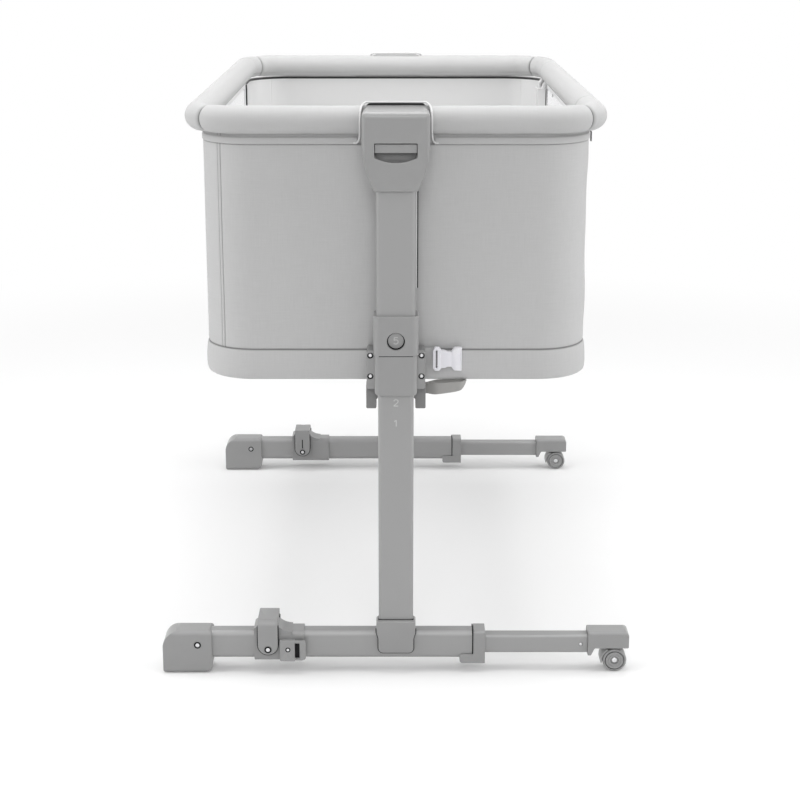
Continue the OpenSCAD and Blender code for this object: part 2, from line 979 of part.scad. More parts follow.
module buckle_plug() {
    y0 = hem_face - seat_gap - webbing_t - buckle_t;
    neck_x = buckle_x0 + 13;
    end_x = buckle_x0 + buckle_l - 13;
    color(BUCKLE)
        difference() {
            along_y(y0, y0 + buckle_t) {
                corner_rect(buckle_x0, buckle_z - 17, neck_x, buckle_z + 17, [2, 2, 2, 2]);
                translate([neck_x - 1, buckle_z - 13])
                    square([end_x - neck_x + 1, 26]);
            }
            translate([buckle_x0 + 5, y0 - 1, buckle_z - 13])
                cube([2.5, buckle_t + 2, 26]);
        }
}

module buckle_socket() {
    y0 = hem_face - seat_gap - webbing_t - buckle_t;
    end_x = buckle_x0 + buckle_l - 13;
    color(BUCKLE)
        along_y(y0, y0 + buckle_t)
            corner_rect(end_x, buckle_z - 17, buckle_x0 + buckle_l, buckle_z + 17, [4, 2, 2, 4]);
}

module drop_rail_tube() {
    color(COATED)
        translate([0, 0, rail_z])
            loop_side(rail_x, 4 - drop_y, drop_y - 4, 0)
                ring(rail_tube_d, round_wall);
}

module shoe_arm(y, d) {
    slanted_rod([post_x, shoe_top - shoe_arm_d], [rail_x, rail_z], y, d);
}

module drop_rail_pad() {
    color(PAD_GREY)
        difference() {
            translate([0, 0, rail_z])
                loop_side(rail_x, part_gap - drop_y, drop_y - part_gap, 0)
                    ring(pad_d, (pad_d - rail_tube_d) / 2);
            for (y = [-shoe_arm_y, shoe_arm_y])
                shoe_arm(y, shoe_arm_d + 2 * seat_gap);
        }
}

// A shoe rides on its post and carries the rail by a slanted arm
module shoe() {
    difference() {
        union() {
            difference() {
                shoe_arm(-shoe_arm_y, shoe_arm_d);
                translate([rail_x, -drop_y, rail_z])
                    rotate([-90, 0, 0])
                        cylinder(d = rail_tube_d, h = drop_y);
            }
            translate([post_x - shoe_half, -post_y - shoe_half, shoe_top - shoe_h])
                cube([2 * shoe_half, post_y + shoe_half - shoe_arm_y + shoe_arm_d, shoe_h]);
        }
        translate([post_x, -post_y, shoe_top - shoe_h - 1])
            cylinder(r = shoe_bore_r, h = shoe_h + 2);
    }
}

module drop_rail_shoes() {
    color(PLASTIC) {
        shoe();
        at_far()
            shoe();
    }
}

module release_lever() {
    w = slot_w - 2 * lever_gap;
    color(PLASTIC)
        union() {
            translate([-w / 2, lever_front, lever_low])
                cube([w, lever_back - lever_front, lever_h]);
            translate([0, col_y, rod_low])
                cylinder(d = rod_d, h = lever_low - rod_low + 1);
        }
}

module release_lever_near() {
    release_lever();
}

module release_lever_far() {
    at_far()
        release_lever();
}

// The column has a lock hole for each height setting in its rear wall
module column() {
    color(COATED)
        difference() {
            along_z(column_bottom, column_top)
                translate([0, col_y])
                    tube_section(column_w, column_d, column_r, tube_wall);
            for (k = [0 : step_count - 1])
                translate([0, col_y, lock_z - k * step_pitch])
                    rotate([-90, 0, 0])
                        cylinder(d = lock_hole_d, h = column_d);
        }
}

module column_near() {
    column();
}

module column_far() {
    at_far()
        column();
}

// Section of the outer foot tube grown all round
module foot_tube_block(x0, x1, grow) {
    along_x(x0, x1)
        translate([col_y, foot_mid_z])
            round_rect(foot_tube_t + 2 * grow, foot_tube_h + 2 * grow, foot_tube_r);
}

module column_socket() {
    cheek_low = foot_top - socket_drop;
    cheek_w = column_w + 5;
    inset = 2 * (tube_wall + seat_gap);
    color(PLASTIC) {
        difference() {
            union() {
                along_y(col_y - socket_d / 2, col_y + socket_d / 2)
                    cheek_outline(cheek_w, cheek_low);
                along_z(foot_top, socket_top)
                    translate([0, col_y])
                        round_rect(socket_w, socket_d + 2, column_r + 3);
            }
            foot_tube_block(-socket_w, socket_w, fit);
            along_z(column_bottom, socket_top + 1)
                translate([0, col_y])
                    round_rect(column_w + 2 * fit, column_d + 2 * fit, column_r);
        }
        along_z(column_bottom - 1, column_bottom + spigot_l)
            translate([0, col_y])
                round_rect(column_w - inset, column_d - inset, column_r - 2);
    }
}

// A cheek flares where it leaves the tube's top, and has rounded lower corners
module cheek_outline(w, low) {
    low_w = w - 4;
    round_r = 7;
    polygon([[-w / 2 - 1, foot_top], [-w / 2, foot_top - 4], [-low_w / 2, foot_top - 10],
        [-low_w / 2, low + round_r], [-low_w / 2 + round_r, low], [low_w / 2 - round_r, low],
        [low_w / 2, low + round_r], [low_w / 2, foot_top - 10], [w / 2, foot_top - 4],
        [w / 2 + 1, foot_top], [w / 2 + 1, foot_top + 5], [-w / 2 - 1, foot_top + 5]]);
    for (sx = [-1, 1])
        translate([sx * (low_w / 2 - round_r), low + round_r])
            circle(round_r);
}

module column_socket_near() {
    column_socket();
}

module column_socket_far() {
    at_far()
        column_socket();
}

module foot_tube() {
    color(COATED)
        along_x(foot_tube_x0, foot_tube_x1)
            translate([col_y, foot_mid_z])
                tube_section(foot_tube_t, foot_tube_h, foot_tube_r, tube_wall);
}

module foot_tube_near() {
    foot_tube();
}

module foot_tube_far() {
    at_far()
        foot_tube();
}

cap_screw_inset = 21;
cap_screw_x = foot_x0 + cap_l - cap_screw_inset;
cap_screw_z = foot_mid_z + 2;

module foot_cap() {
    x1 = foot_x0 + cap_l;
    color(PLASTIC)
        difference() {
            intersection() {
                along_y(col_y - cap_t / 2, col_y + cap_t / 2)
                    corner_rect(foot_x0, 0, x1, cap_h, [4, 14, 6, cap_r]);
                along_x(foot_x0, x1)
                    translate([col_y, cap_h / 2])
                        round_rect(cap_t, cap_h, 7);
            }
            foot_tube_block(foot_tube_x0 - fit, x1 + 1, fit);
            translate([cap_screw_x, col_y - cap_t / 2 - 1, cap_screw_z])
                rotate([-90, 0, 0]) {
                    cylinder(r = 5, h = 2.2);
                    cylinder(r = 2, h = cap_t / 2);
                }
        }
}

module foot_cap_near() {
    foot_cap();
}

module foot_cap_far() {
    at_far()
        foot_cap();
}

module foot_collar() {
    x0 = foot_reach - foot_collar_l;
    t = foot_tube_t + 6;
    z0 = foot_tube_z - 6;
    color(PLASTIC)
        difference() {
            union() {
                along_x(x0, foot_reach)
                    translate([col_y, (z0 + foot_top + 1) / 2])
                        round_rect(t, foot_top + 1 - z0, 4);
                along_y(col_y - t / 2, col_y + t / 2)
                    corner_rect(x0 - toe_l, z0, foot_reach, z0 + toe_h, [4, 0, 0, 4]);
            }
            foot_tube_block(x0 - toe_l - 1, foot_tube_x1, fit);
            along_x(x0, foot_reach + 1)
                translate([col_y, foot_mid_z])
                    round_rect(inner_tube_t + 2 * slide_gap, inner_tube_h + 2 * slide_gap, 4);
        }
}

module foot_collar_near() {
    foot_collar();
}

module foot_collar_far() {
    at_far()
        foot_collar();
}

block_x0 = pivot_x + 17;
block_x1 = block_x0 + 22;
bar_x0 = block_x1 + strap_slot_w;
bar_x1 = bar_x0 + 9;
block_z0 = bracket_z0 + 3;
block_z1 = block_z0 + 32;

// Outline of the hump that the pedal turns over, with its hollow flank
module hump_outline() {
    flank_r = 28;
    flank_x = pivot_x + pedal_w / 2 + part_gap;
    flat_z = bracket_z0 + bracket_h;
    difference() {
        union() {
            intersection() {
                translate([pivot_x, pedal_z])
                    circle(hump_r, $fn = 128);
                translate([bracket_x0, foot_top - 6])
                    square([bracket_l, hump_r]);
            }
            translate([flank_x, foot_top - 6])
                square([19, flat_z + 7 - foot_top + 6]);
        }
        translate([flank_x + 19, flat_z + flank_r])
            circle(flank_r, $fn = 96);
    }
}

module lock_bracket() {
    y_face = col_y - bracket_t / 2;
    plate_t = 7;
    color(PLASTIC)
        difference() {
            union() {
                along_x(bracket_x0, bracket_x1)
                    translate([col_y, bracket_z0 + bracket_h / 2])
                        round_rect(bracket_t, bracket_h, 7);
                along_y(y_face + 0.5, col_y + bracket_t / 2 - 0.5)
                    hump_outline();
                along_y(y_face - plate_t, y_face + 1)
                    corner_rect(block_x0, block_z0, block_x1, block_z1, [2, 0, 1, 1]);
                along_y(y_face - plate_t, y_face - plate_t + 3.5) {
                    corner_rect(bar_x0, block_z0 + 2, bar_x1, block_z1, [4, 4, 4, 4]);
                    translate([block_x1 - 1, block_z1 - 4])
                        square([strap_slot_w + 4, 4]);
                    translate([block_x1 - 1, block_z0 + 1])
                        square([strap_slot_w + 5, 3.5]);
                }
            }
            foot_tube_block(bracket_x0 - 1, bracket_x1 + 1, fit);
            translate([pivot_x, col_y - bracket_t, pedal_z])
                rotate([-90, 0, 0])
                    cylinder(r = pin_r, h = 2 * bracket_t);
            translate([(block_x0 + block_x1) / 2 + 1, y_face - plate_t - 1, block_z0 + 18])
                rotate([-90, 0, 0])
                    cylinder(r = 2.6, h = 3, $fn = 32);
        }
}

module lock_bracket_near() {
    lock_bracket();
}

module lock_bracket_far() {
    at_far()
        lock_bracket();
}

// The cap's screw, the bracket's screw and the pedal's two pivot screws
module leg_screws() {
    y_face = col_y - bracket_t / 2;
    tube_face = foot_tube_t / 2;
    color(STEEL) {
        translate([cap_screw_x, col_y - cap_t / 2 - 0.3, cap_screw_z])
            rotate([-90, 0, 0]) {
                cylinder(r = 4.2, h = 1.4);
                cylinder(r = 2, h = cap_t / 2 - tube_face + 0.3);
            }
        translate([(block_x0 + block_x1) / 2 + 1, y_face - 6.6, block_z0 + 18])
            rotate([-90, 0, 0])
                cylinder(r = 2.6, h = 1.6, $fn = 32);
        for (side = [-1, 1])
            translate([pivot_x, col_y + side * (tube_face + fit), pedal_z])
                rotate([-90 * side, 0, 0]) {
                    cylinder(r = pin_r, h = pedal_out - tube_face - fit - 1);
                    translate([0, 0, pedal_out - tube_face - fit - 1])
                        cylinder(r = pin_head_r, h = 1);
                }
    }
}

module leg_screws_near() {
    leg_screws();
}

module leg_screws_far() {
    at_far()
        leg_screws();
}

module inner_tube() {
    glide_t = foot_tube_t - 2 * tube_wall - 2 * seat_gap;
    glide_h = foot_tube_h - 2 * tube_wall - 2 * seat_gap;
    color(COATED)
        along_x(inner_x0 + glide_l / 2, inner_x1)
            translate([col_y, foot_mid_z])
                tube_section(inner_tube_t, inner_tube_h, 4, tube_wall);
    color(DARK)
        difference() {
            along_x(inner_x0, inner_x0 + glide_l)
                translate([col_y, foot_mid_z])
                    round_rect(glide_t, glide_h, foot_tube_r - tube_wall);
            along_x(inner_x0 + glide_l / 2, inner_x0 + glide_l + 1)
                translate([col_y, foot_mid_z])
                    round_rect(inner_tube_t, inner_tube_h, 4);
        }
}

module inner_tube_near() {
    inner_tube();
}

module inner_tube_far() {
    at_far()
        inner_tube();
}

module wheel_cap() {
    top = wheel_cap_z + wheel_cap_h;
    lip_z = inner_z0 - 2;
    color(PLASTIC)
        difference() {
            intersection() {
                along_y(col_y - wheel_cap_t / 2, col_y + wheel_cap_t / 2) {
                    corner_rect(wheel_cap_x0, wheel_cap_z, foot_x1, top, [0, 2, 8, 1]);
                    polygon([[wheel_cap_x0, lip_z], [inner_x1, lip_z], [inner_x1 + lip_slope, wheel_cap_z + 1],
                        [wheel_cap_x0, wheel_cap_z + 1]]);
                }
                along_x(wheel_cap_x0, foot_x1)
                    corner_rect(col_y - wheel_cap_t / 2, lip_z, col_y + wheel_cap_t / 2, top, [1, 1, 5, 5]);
            }
            along_x(wheel_cap_x0 - 1, inner_x1)
                translate([col_y, foot_mid_z])
                    round_rect(inner_tube_t + 2 * fit, inner_tube_h + 2 * fit, 4);
            translate([stem_x, col_y, wheel_cap_z - 1])
                cylinder(d = stem_d + 2 * run_gap, h = 22);
        }
}

module wheel_cap_near() {
    wheel_cap();
}

module wheel_cap_far() {
    at_far()
        wheel_cap();
}

module pedal_outline() {
    corner_rect(pivot_x - pedal_w / 2, pedal_z - 8, pivot_x + pedal_w / 2, pedal_top,
        [pedal_w / 2 - 0.01, pedal_w / 2 - 0.01, 1.5, 1.5]);
}

// The pedal's top front edge is well rounded, and its top has a dish for the toe, open at the back
module pedal() {
    dish_r = 22;
    color(PLASTIC)
        difference() {
            intersection() {
                along_y(col_y - pedal_out, col_y + pedal_out)
                    pedal_outline();
                along_x(pivot_x - pedal_w, pivot_x + pedal_w)
                    corner_rect(col_y - pedal_out, 0, col_y + pedal_out, pedal_top, [1, 1, 2, 9]);
            }
            along_y(col_y - pedal_in, col_y + pedal_in) {
                translate([pivot_x, pedal_z])
                    circle(hump_r + part_gap, $fn = 128);
            }
            translate([pivot_x, col_y + pedal_out, pedal_top + dish_r - 5])
                sphere(r = dish_r);
            translate([pivot_x, col_y - pedal_out - 1, pedal_z])
                rotate([-90, 0, 0])
                    cylinder(r = pin_r + 0.1, h = 2 * pedal_out + 2);
            for (side = [-1, 1])
                translate([pivot_x, col_y + side * (pedal_out - 1.2), pedal_z])
                    rotate([-90 * side, 0, 0])
                        cylinder(r = pin_head_r + 0.8, h = 3);
        }
}

module pedal_near() {
    pedal();
}

module pedal_far() {
    at_far()
        pedal();
}

// Slice of a disc between two angles, centred on the axle
module pie(r, from, to) {
    steps = 6;
    intersection() {
        circle(r, $fn = 96);
        polygon(concat([[0, 0]], [for (k = [0 : steps])
            let (a = from + (to - from) * k / steps)
            [2 * r * cos(a), 2 * r * sin(a)]]));
    }
}

module caster_yoke() {
    plate_z = wheel_d + 0.5;
    color(PLASTIC)
        difference() {
            union() {
                along_y(col_y - web_t / 2, col_y + web_t / 2)
                    intersection() {
                        translate([axle_x, wheel_r]) {
                            circle(9);
                            pie(hood_r1, 92, 190);
                        }
                        translate([axle_x - wheel_d, 0])
                            square([2 * wheel_d, plate_z + 1]);
                    }
                along_y(col_y - caster_w / 2, col_y + caster_w / 2)
                    translate([axle_x, wheel_r])
                        difference() {
                            pie(hood_r1, 122, 190);
                            circle(hood_r0, $fn = 96);
                        }
                translate([stem_x, col_y, plate_z])
                    cylinder(r = 7, h = wheel_cap_z - plate_z - seat_gap);
                translate([stem_x, col_y, plate_z])
                    cylinder(d = stem_d, h = wheel_cap_z - plate_z + 20);
            }
            translate([axle_x, col_y - web_t, wheel_r])
                rotate([-90, 0, 0])
                    cylinder(r = axle_r + run_gap, h = 2 * web_t);
        }
}

module caster_yoke_near() {
    caster_yoke();
}

module caster_yoke_far() {
    at_far()
        caster_yoke();
}

// Section of one wheel: a tyre with a groove inside its rim and a shallow hub
module wheel_section() {
    edge = 1.5;
    difference() {
        translate([axle_r, 0])
            corner_rect(0, 0, wheel_r - axle_r, wheel_t, [0, edge, edge, 0]);
        translate([wheel_r * 0.78, wheel_t - 1])
            square([0.9, 2]);
        translate([0, wheel_t - 1.4])
            square([5, 2]);
    }
}

module wheels() {
    color(PLASTIC)
        for (side = [-1, 1])
            translate([axle_x, col_y + side * wheel_y0, wheel_r])
                rotate([-90 * side, 0, 0])
                    rotate_extrude()
                        wheel_section();
    color(STEEL)
        translate([axle_x, col_y - caster_w / 2 + 0.5, wheel_r])
            rotate([-90, 0, 0])
                cylinder(r = axle_r, h = caster_w - 1);
}

module wheels_near() {
    wheels();
}

module wheels_far() {
    at_far()
        wheels();
}

top_frame();
rail_pad_near();
rail_pad_far();
rail_pad_left();
rail_pad_corners();
bottom_frame();
base_board();
mattress();
shell_near();
shell_far();
side_panel_left();
drop_side_panel();
hem_band();
guide_posts();
zip_tapes();
hub_near();
hub_far();
upper_tube_near();
upper_tube_far();
collar_near();
collar_far();
clamp_cover_near();
clamp_cover_far();
rear_bracket_near();
rear_bracket_far();
clamp_screws();
cover_strips();
strap_webbing();
buckle_plug();
buckle_socket();
drop_rail_tube();
drop_rail_pad();
drop_rail_shoes();
release_lever_near();
release_lever_far();
column_near();
column_far();
column_socket_near();
column_socket_far();
foot_tube_near();
foot_tube_far();
foot_cap_near();
foot_cap_far();
foot_collar_near();
foot_collar_far();
lock_bracket_near();
lock_bracket_far();
leg_screws_near();
leg_screws_far();
inner_tube_near();
inner_tube_far();
wheel_cap_near();
wheel_cap_far();
pedal_near();
pedal_far();
caster_yoke_near();
caster_yoke_far();
wheels_near();
wheels_far();
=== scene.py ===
"""Looks of the bedside sleeper crib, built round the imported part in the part's own frame."""

import itertools
import math

import bmesh
import bpy
import numpy as np
from bpy.props import FloatProperty, FloatVectorProperty, IntProperty, PointerProperty
from mathutils import Matrix, Vector
from mathutils.bvhtree import BVHTree


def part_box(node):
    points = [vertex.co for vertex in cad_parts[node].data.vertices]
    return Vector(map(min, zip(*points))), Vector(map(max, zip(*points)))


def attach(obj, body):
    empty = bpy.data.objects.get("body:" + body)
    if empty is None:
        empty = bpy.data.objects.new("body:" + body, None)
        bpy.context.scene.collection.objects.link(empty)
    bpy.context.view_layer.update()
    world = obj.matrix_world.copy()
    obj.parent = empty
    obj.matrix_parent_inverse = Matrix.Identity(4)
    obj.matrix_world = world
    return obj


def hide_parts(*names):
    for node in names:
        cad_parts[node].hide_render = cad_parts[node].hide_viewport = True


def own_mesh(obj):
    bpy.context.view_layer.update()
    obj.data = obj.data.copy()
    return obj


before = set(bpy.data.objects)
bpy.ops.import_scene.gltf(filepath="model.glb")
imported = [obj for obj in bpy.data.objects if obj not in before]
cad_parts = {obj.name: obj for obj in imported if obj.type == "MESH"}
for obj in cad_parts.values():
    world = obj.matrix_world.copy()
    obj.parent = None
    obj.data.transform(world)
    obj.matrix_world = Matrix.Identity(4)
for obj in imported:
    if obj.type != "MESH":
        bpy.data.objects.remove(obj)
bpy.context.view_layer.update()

bl_info = {
    "name": "Bedside Crib",
    "version": (1, 0, 0),
    "blender": (4, 5, 0),
    "location": "3D View > Sidebar > Crib",
    "description": "Dresses a bedside sleeper crib in cloth, mesh, moulded plastic and steel",
    "category": "Object",
}

# Places below are in millimetres, and become metres when a mesh is made.
MM = 0.001
ENDS = {"near": -1, "far": 1}


def box_mm(node):
    """Lowest and highest corner of a CAD node, in millimetres."""
    low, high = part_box(node)
    return np.array(low) / MM, np.array(high) / MM


# The rail's steel tube: its radius, its middle line's sides, ends and height, and its corners' radius.
TUBE_R = 11.0
RAIL_X, RAIL_Y, RAIL_Z = box_mm("top_frame")[1] - TUBE_R
RAIL_R = 61.0
# Half the length of the rail's section that drops, seams included.
DROP_Y = box_mm("drop_rail_pad")[1][1] + 1.0
# The walls' outline in plan. The hem stands out from it by its bulge.
HEM_BULGE = 4.0
CLOTH_X, CLOTH_Y = box_mm("hem_band")[1][:2] - HEM_BULGE
CLOTH_R = 70.0
HEM_LOW, HEM_TOP = (corner[2] for corner in box_mm("hem_band"))
# The middle of the near column.
COLUMN_Y = -450.0
HUB_HALF, HUB_BACK = box_mm("hub_near")[1][:2]
# The underside of the pads, and the top of the walls under it.
PAD_LOW = RAIL_Z - 19.0
CLOTH_TOP = PAD_LOW - 6.0
# The top of the foot tubes.
FOOT_TOP = box_mm("foot_tube_near")[1][2]


# Settings that a user would change


def colour(name, description, value):
    """A colour setting with its words and its start value."""
    return FloatVectorProperty(
        name=name, description=description, default=value, subtype="COLOR", size=3, min=0, max=1
    )


def length(name, description, value):
    """A length setting in metres."""
    return FloatProperty(name=name, description=description, default=value, min=0, unit="LENGTH")


class CribFinish(bpy.types.PropertyGroup):
    """Colours of the crib's materials."""

    wall: colour("Wall Cloth", "Cloth round the ends of the basket", (0.50, 0.50, 0.50))
    pad: colour("Pad Cloth", "Cloth over the foam on the rail", (0.49, 0.49, 0.49))
    lining: colour("Lining", "Cloth inside the basket", (0.68, 0.68, 0.68))
    piping: colour("Piping", "Cord and tape that edge the cloth", (0.70, 0.70, 0.70))
    net: colour("Mesh", "Net on the long sides", (0.86, 0.86, 0.87))
    quilt: colour("Mattress", "Quilted cover of the mattress", (0.70, 0.70, 0.69))
    # The zip's colour also blackens the small pieces that paint shadow into gaps and recesses.
    zip: colour("Zip", "Zip tape and teeth", (0.012, 0.012, 0.013))
    webbing: colour("Webbing", "Spare webbing", (0.36, 0.355, 0.345))
    # Painted shade: a darker copy of the moulded plastic, for set-back parts.
    shade: colour("Set-Back Plastic", "Rear brackets and finger wells", (0.20, 0.20, 0.20))
    moulded: colour("Moulded Plastic", "Hubs, covers, caps and feet", (0.295, 0.295, 0.295))
    guide: colour("Guides", "Posts and shoes of the side that drops", (0.66, 0.66, 0.66))
    coated: colour("Coated Tube", "Powder coat on columns and foot tubes", (0.275, 0.275, 0.275))
    buckle: colour("Buckle", "Side-release buckle", (0.78, 0.775, 0.82))
    ink: colour("Print", "Height numbers on the columns", (0.50, 0.50, 0.50))
    board: colour("Board", "Hardboard under the mattress", (0.36, 0.27, 0.18))


class CribSizes(bpy.types.PropertyGroup):
    """Sizes of the crib's finer forms."""

    pad_radius: length("Pad Radius", "Radius of the padded rail", 0.0190)
    seam_depth: length("Seam Depth", "How far a seam pulls the pad in", 0.0026)
    stitch: length("Stitch Pitch", "Distance between stitches on the pads", 0.0050)
    thread: length("Thread Pitch", "Distance between threads of the cloth", 0.0009)
    net_cell: length("Mesh Cell", "Distance between holes of the net", 0.0030)
    edge_round: length("Moulded Edge", "Width of the rounding on moulded edges", 0.0009)
    quilt_cell: length("Quilt Cell", "Distance between sewn lines of the mattress", 0.0700)
    zip_pitch: length("Zip Pitch", "Distance between zip teeth", 0.0025)
    sim_frames: IntProperty(
        name="Inflation Frames", description="Frames of the mattress simulation", default=16, min=1
    )


def finish_of():
    """The colours, as they are set now."""
    return bpy.context.scene.crib_finish


def sizes_of():
    """The sizes, as they are set now."""
    return bpy.context.scene.crib_sizes


# Tools for meshes


def select_only(*objs):
    if bpy.context.object and bpy.context.object.mode != "OBJECT":
        bpy.ops.object.mode_set(mode="OBJECT")
    bpy.ops.object.select_all(action="DESELECT")
    for obj in objs:
        obj.select_set(True)
    bpy.context.view_layer.objects.active = objs[0]


def edited(obj, *steps):
    """Runs mesh operators, each with its settings, on the whole of an object in edit mode."""
    select_only(obj)
    bpy.ops.object.mode_set(mode="EDIT")
    bpy.ops.mesh.select_all(action="SELECT")
    for operator, settings in steps:
        operator(**settings)
    bpy.ops.object.mode_set(mode="OBJECT")
    return obj


def modified(obj, kind, **settings):
    """Adds a modifier and applies it."""
    select_only(obj)
    mod = obj.modifiers.new(kind.title(), kind)
    for name, value in settings.items():
        setattr(mod, name, value)
    bpy.ops.object.modifier_apply(modifier=mod.name)
    return obj


def linked(name, data):
    """A new object in the scene for this mesh, lamp or camera."""
    obj = bpy.data.objects.new(name, data)
    bpy.context.scene.collection.objects.link(obj)
    return obj


def twin_of(obj, name):
    """A copy of an object, with its own mesh."""
    data = obj.data.copy()
    data.name = name
    return linked(name, data)


def new_mesh(name, points, faces, corners=None):
    """A mesh object from points in millimetres, with one UV in metres for each face corner."""
    data = bpy.data.meshes.new(name)
    data.from_pydata((np.asarray(points, float) * MM).tolist(), [], faces)
    if corners is not None:
        layer = data.uv_layers.new(name="UVMap")
        layer.data.foreach_set("uv", (np.asarray(corners, float) * MM).ravel())
    data.update()
    return linked(name, data)


def grid_mesh(name, points, uv, closed=False, seam=None):
    """A sheet from rows x columns x 3 points, with a mask of the shade painted along its seams.

    With closed, the last column joins the first, and uv has one more column.
    """
    rows, cols = points.shape[:2]
    i, j = np.meshgrid(np.arange(rows - 1), np.arange(cols if closed else cols - 1), indexing="ij")
    i, j = i.ravel(), j.ravel()
    k = (j + 1) % cols
    faces = np.stack([i * cols + j, i * cols + k, (i + 1) * cols + k, (i + 1) * cols + j], 1)
    corners = np.stack([uv[i, j], uv[i, j + 1], uv[i + 1, j + 1], uv[i + 1, j]], 1)
    obj = new_mesh(name, points.reshape(-1, 3), faces.tolist(), corners.reshape(-1, 2))
    if seam is not None:
        # The seam mask is painted shade: the cloth darkens its colour along it.
        mask = obj.data.attributes.new("seam", "FLOAT", "POINT")
        mask.data.foreach_set("value", np.clip(seam, 0, 1).astype(np.float32).ravel())
    return obj


def faces_out(obj):
    """Merges doubles and turns every face outwards."""
    return edited(
        obj,
        (bpy.ops.mesh.remove_doubles, {"threshold": 1e-6}),
        (bpy.ops.mesh.normals_make_consistent, {"inside": False}),
    )


def thickened(obj, thickness, offset=0):
    """Gives a sheet its thickness in millimetres."""
    return modified(obj, "SOLIDIFY", thickness=thickness * MM, offset=offset)


def holes_closed(obj):
    """Closes every open rim with one face."""
    return edited(obj, (bpy.ops.mesh.fill_holes, {"sides": 0}))


def box_mapped(obj):
    """Gives a piece a UV map in metres, projected along the axes."""
    return edited(obj, (bpy.ops.uv.cube_project, {"cube_size": 1.0}))


def smoothed(obj, degrees=40):
    """Shades a piece smooth, up to this angle between its faces."""
    select_only(obj)
    bpy.ops.object.shade_smooth_by_angle(angle=math.radians(degrees))
    return obj


def placed(obj):
    """Puts an object's place into its mesh, so that it sits at the origin."""
    select_only(obj)
    bpy.ops.object.transform_apply(location=True, rotation=True, scale=True)
    return obj


def joined(name, objs):
    """Joins objects into the first, under one name."""
    select_only(*objs)
    bpy.ops.object.join()
    objs[0].name = name
    objs[0].data.name = name
    return objs[0]


def dressed(obj, material, body, stands_for=()):
    """Gives a finished piece its material, its body and the CAD nodes that it stands for."""
    obj.data.materials.clear()
    obj.data.materials.append(material)
    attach(obj, body)
    if stands_for:
        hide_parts(*stands_for)
    return obj


def repaint(node, material):
    """A CAD node keeps its shape and takes a better material."""
    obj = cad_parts[node]
    if not obj.material_slots:
        obj.data.materials.append(material)
    for place in obj.material_slots:
        place.material = material
    return obj


def lathe(name, profile, axis_point, axis, steps=48):
    """A closed turned shape: profile holds (radius, height along the axis) pairs in millimetres."""
    turn = Vector(axis).normalized()
    side = turn.orthogonal().normalized()
    start = Vector(axis_point)
    data = bpy.data.meshes.new(name)
    points = [(start + side * r + turn * h) * MM for r, h in profile]
    data.from_pydata(points, [(i, i + 1) for i in range(len(points) - 1)], [])
    spin = {"steps": steps, "angle": math.tau, "center": start * MM, "axis": turn}
    return faces_out(edited(linked(name, data), (bpy.ops.mesh.spin, spin)))


def block(name, low, high, bevel=0.0, segments=2):
    """A box between two opposite corners in millimetres, in either order, with its edges rounded."""
    low, high = np.sort(np.array([low, high], float), axis=0)
    if bpy.context.object:
        select_only(bpy.context.object)
        bpy.ops.object.select_all(action="DESELECT")
    bpy.ops.mesh.primitive_cube_add(size=1, location=(low + high) / 2 * MM)
    obj = bpy.context.object
    obj.name = obj.data.name = name
    obj.scale = (high - low) * MM
    placed(obj)
    if bevel:
        modified(obj, "BEVEL", width=bevel * MM, segments=segments, limit_method="ANGLE")
    return obj


def plate(name, outline, front, back, bevel=0.0):
    """A flat piece in the XZ plane, from its outline in millimetres, with its edges rounded."""
    count = len(outline)
    points = [(x, y, z) for y in (front, back) for x, z in outline]
    faces = [tuple(range(count)), tuple(range(2 * count - 1, count - 1, -1))]
    faces += [(i, i + count, (i + 1) % count + count, (i + 1) % count) for i in range(count)]
    obj = faces_out(new_mesh(name, points, faces))
    if bevel:
        limit = math.radians(50)
        modified(obj, "BEVEL", width=bevel * MM, segments=3, limit_method="ANGLE", angle_limit=limit)
    return obj


def cut(obj, *tools):
    """Cuts the tools out of obj, and removes them."""
    for tool in tools:
        modified(obj, "BOOLEAN", operation="DIFFERENCE", object=tool, solver="EXACT")
        bpy.data.objects.remove(tool)
    return obj


def ripple(a, b, seed):
    """Smooth uneven waves between about -1 and 1, the same each run."""
    total = 0.0
    for n in range(4):
        turn = seed * 1.7 + n * 2.4
        grow = 1.0 + 0.63 * n
        phase = grow * (a * math.cos(turn) + b * math.sin(turn)) + seed * 3.1 + n * 1.3
        total = total + np.sin(phase) / grow
    return total / 1.9


def smoothstep(low, high, x):
    """A smooth climb from 0 at low to 1 at high."""
    t = np.clip((x - low) / (high - low), 0, 1)
    return t * t * (3 - 2 * t)


def loop_at(s, hw, hl, r):
    """Points and outward normals on a rounded rectangle of half width hw and half length hl.

    s is the way along it, from the near end's middle towards +X.
    """
    a_len, arc, b_len = hw - r, math.pi * r / 2, hl - r
    quarter = a_len + arc + b_len
    s = np.mod(np.asarray(s, float), 4 * quarter)
    q = np.minimum((s // quarter).astype(int), 3)
    t = s - q * quarter
    t = np.where(q % 2 == 1, quarter - t, t)
    a = np.clip((t - a_len) / r, 0, math.pi / 2)
    x = np.minimum(t, a_len) + r * np.sin(a)
    y = -(hl - r) - r * np.cos(a) + np.maximum(t - a_len - arc, 0)
    nx, ny = np.sin(a), -np.cos(a)
    sx = np.where(q >= 2, -1, 1)
    sy = np.where((q == 1) | (q == 2), -1, 1)
    return np.stack([x * sx, y * sy], -1), np.stack([nx * sx, ny * sy], -1)


def ring_points(centre, out, offset, z):
    """Rows of points at these offsets and heights, one row for each point and normal of loop_at."""
    plan = centre[:, None] + out[:, None] * offset[..., None]
    return np.concatenate([plan, np.broadcast_to(z, offset.shape)[..., None]], axis=-1)


def quarter_of(hw, hl, r):
    """A quarter of the way round the rounded rectangle of loop_at."""
    return hw - r + math.pi * r / 2 + hl - r


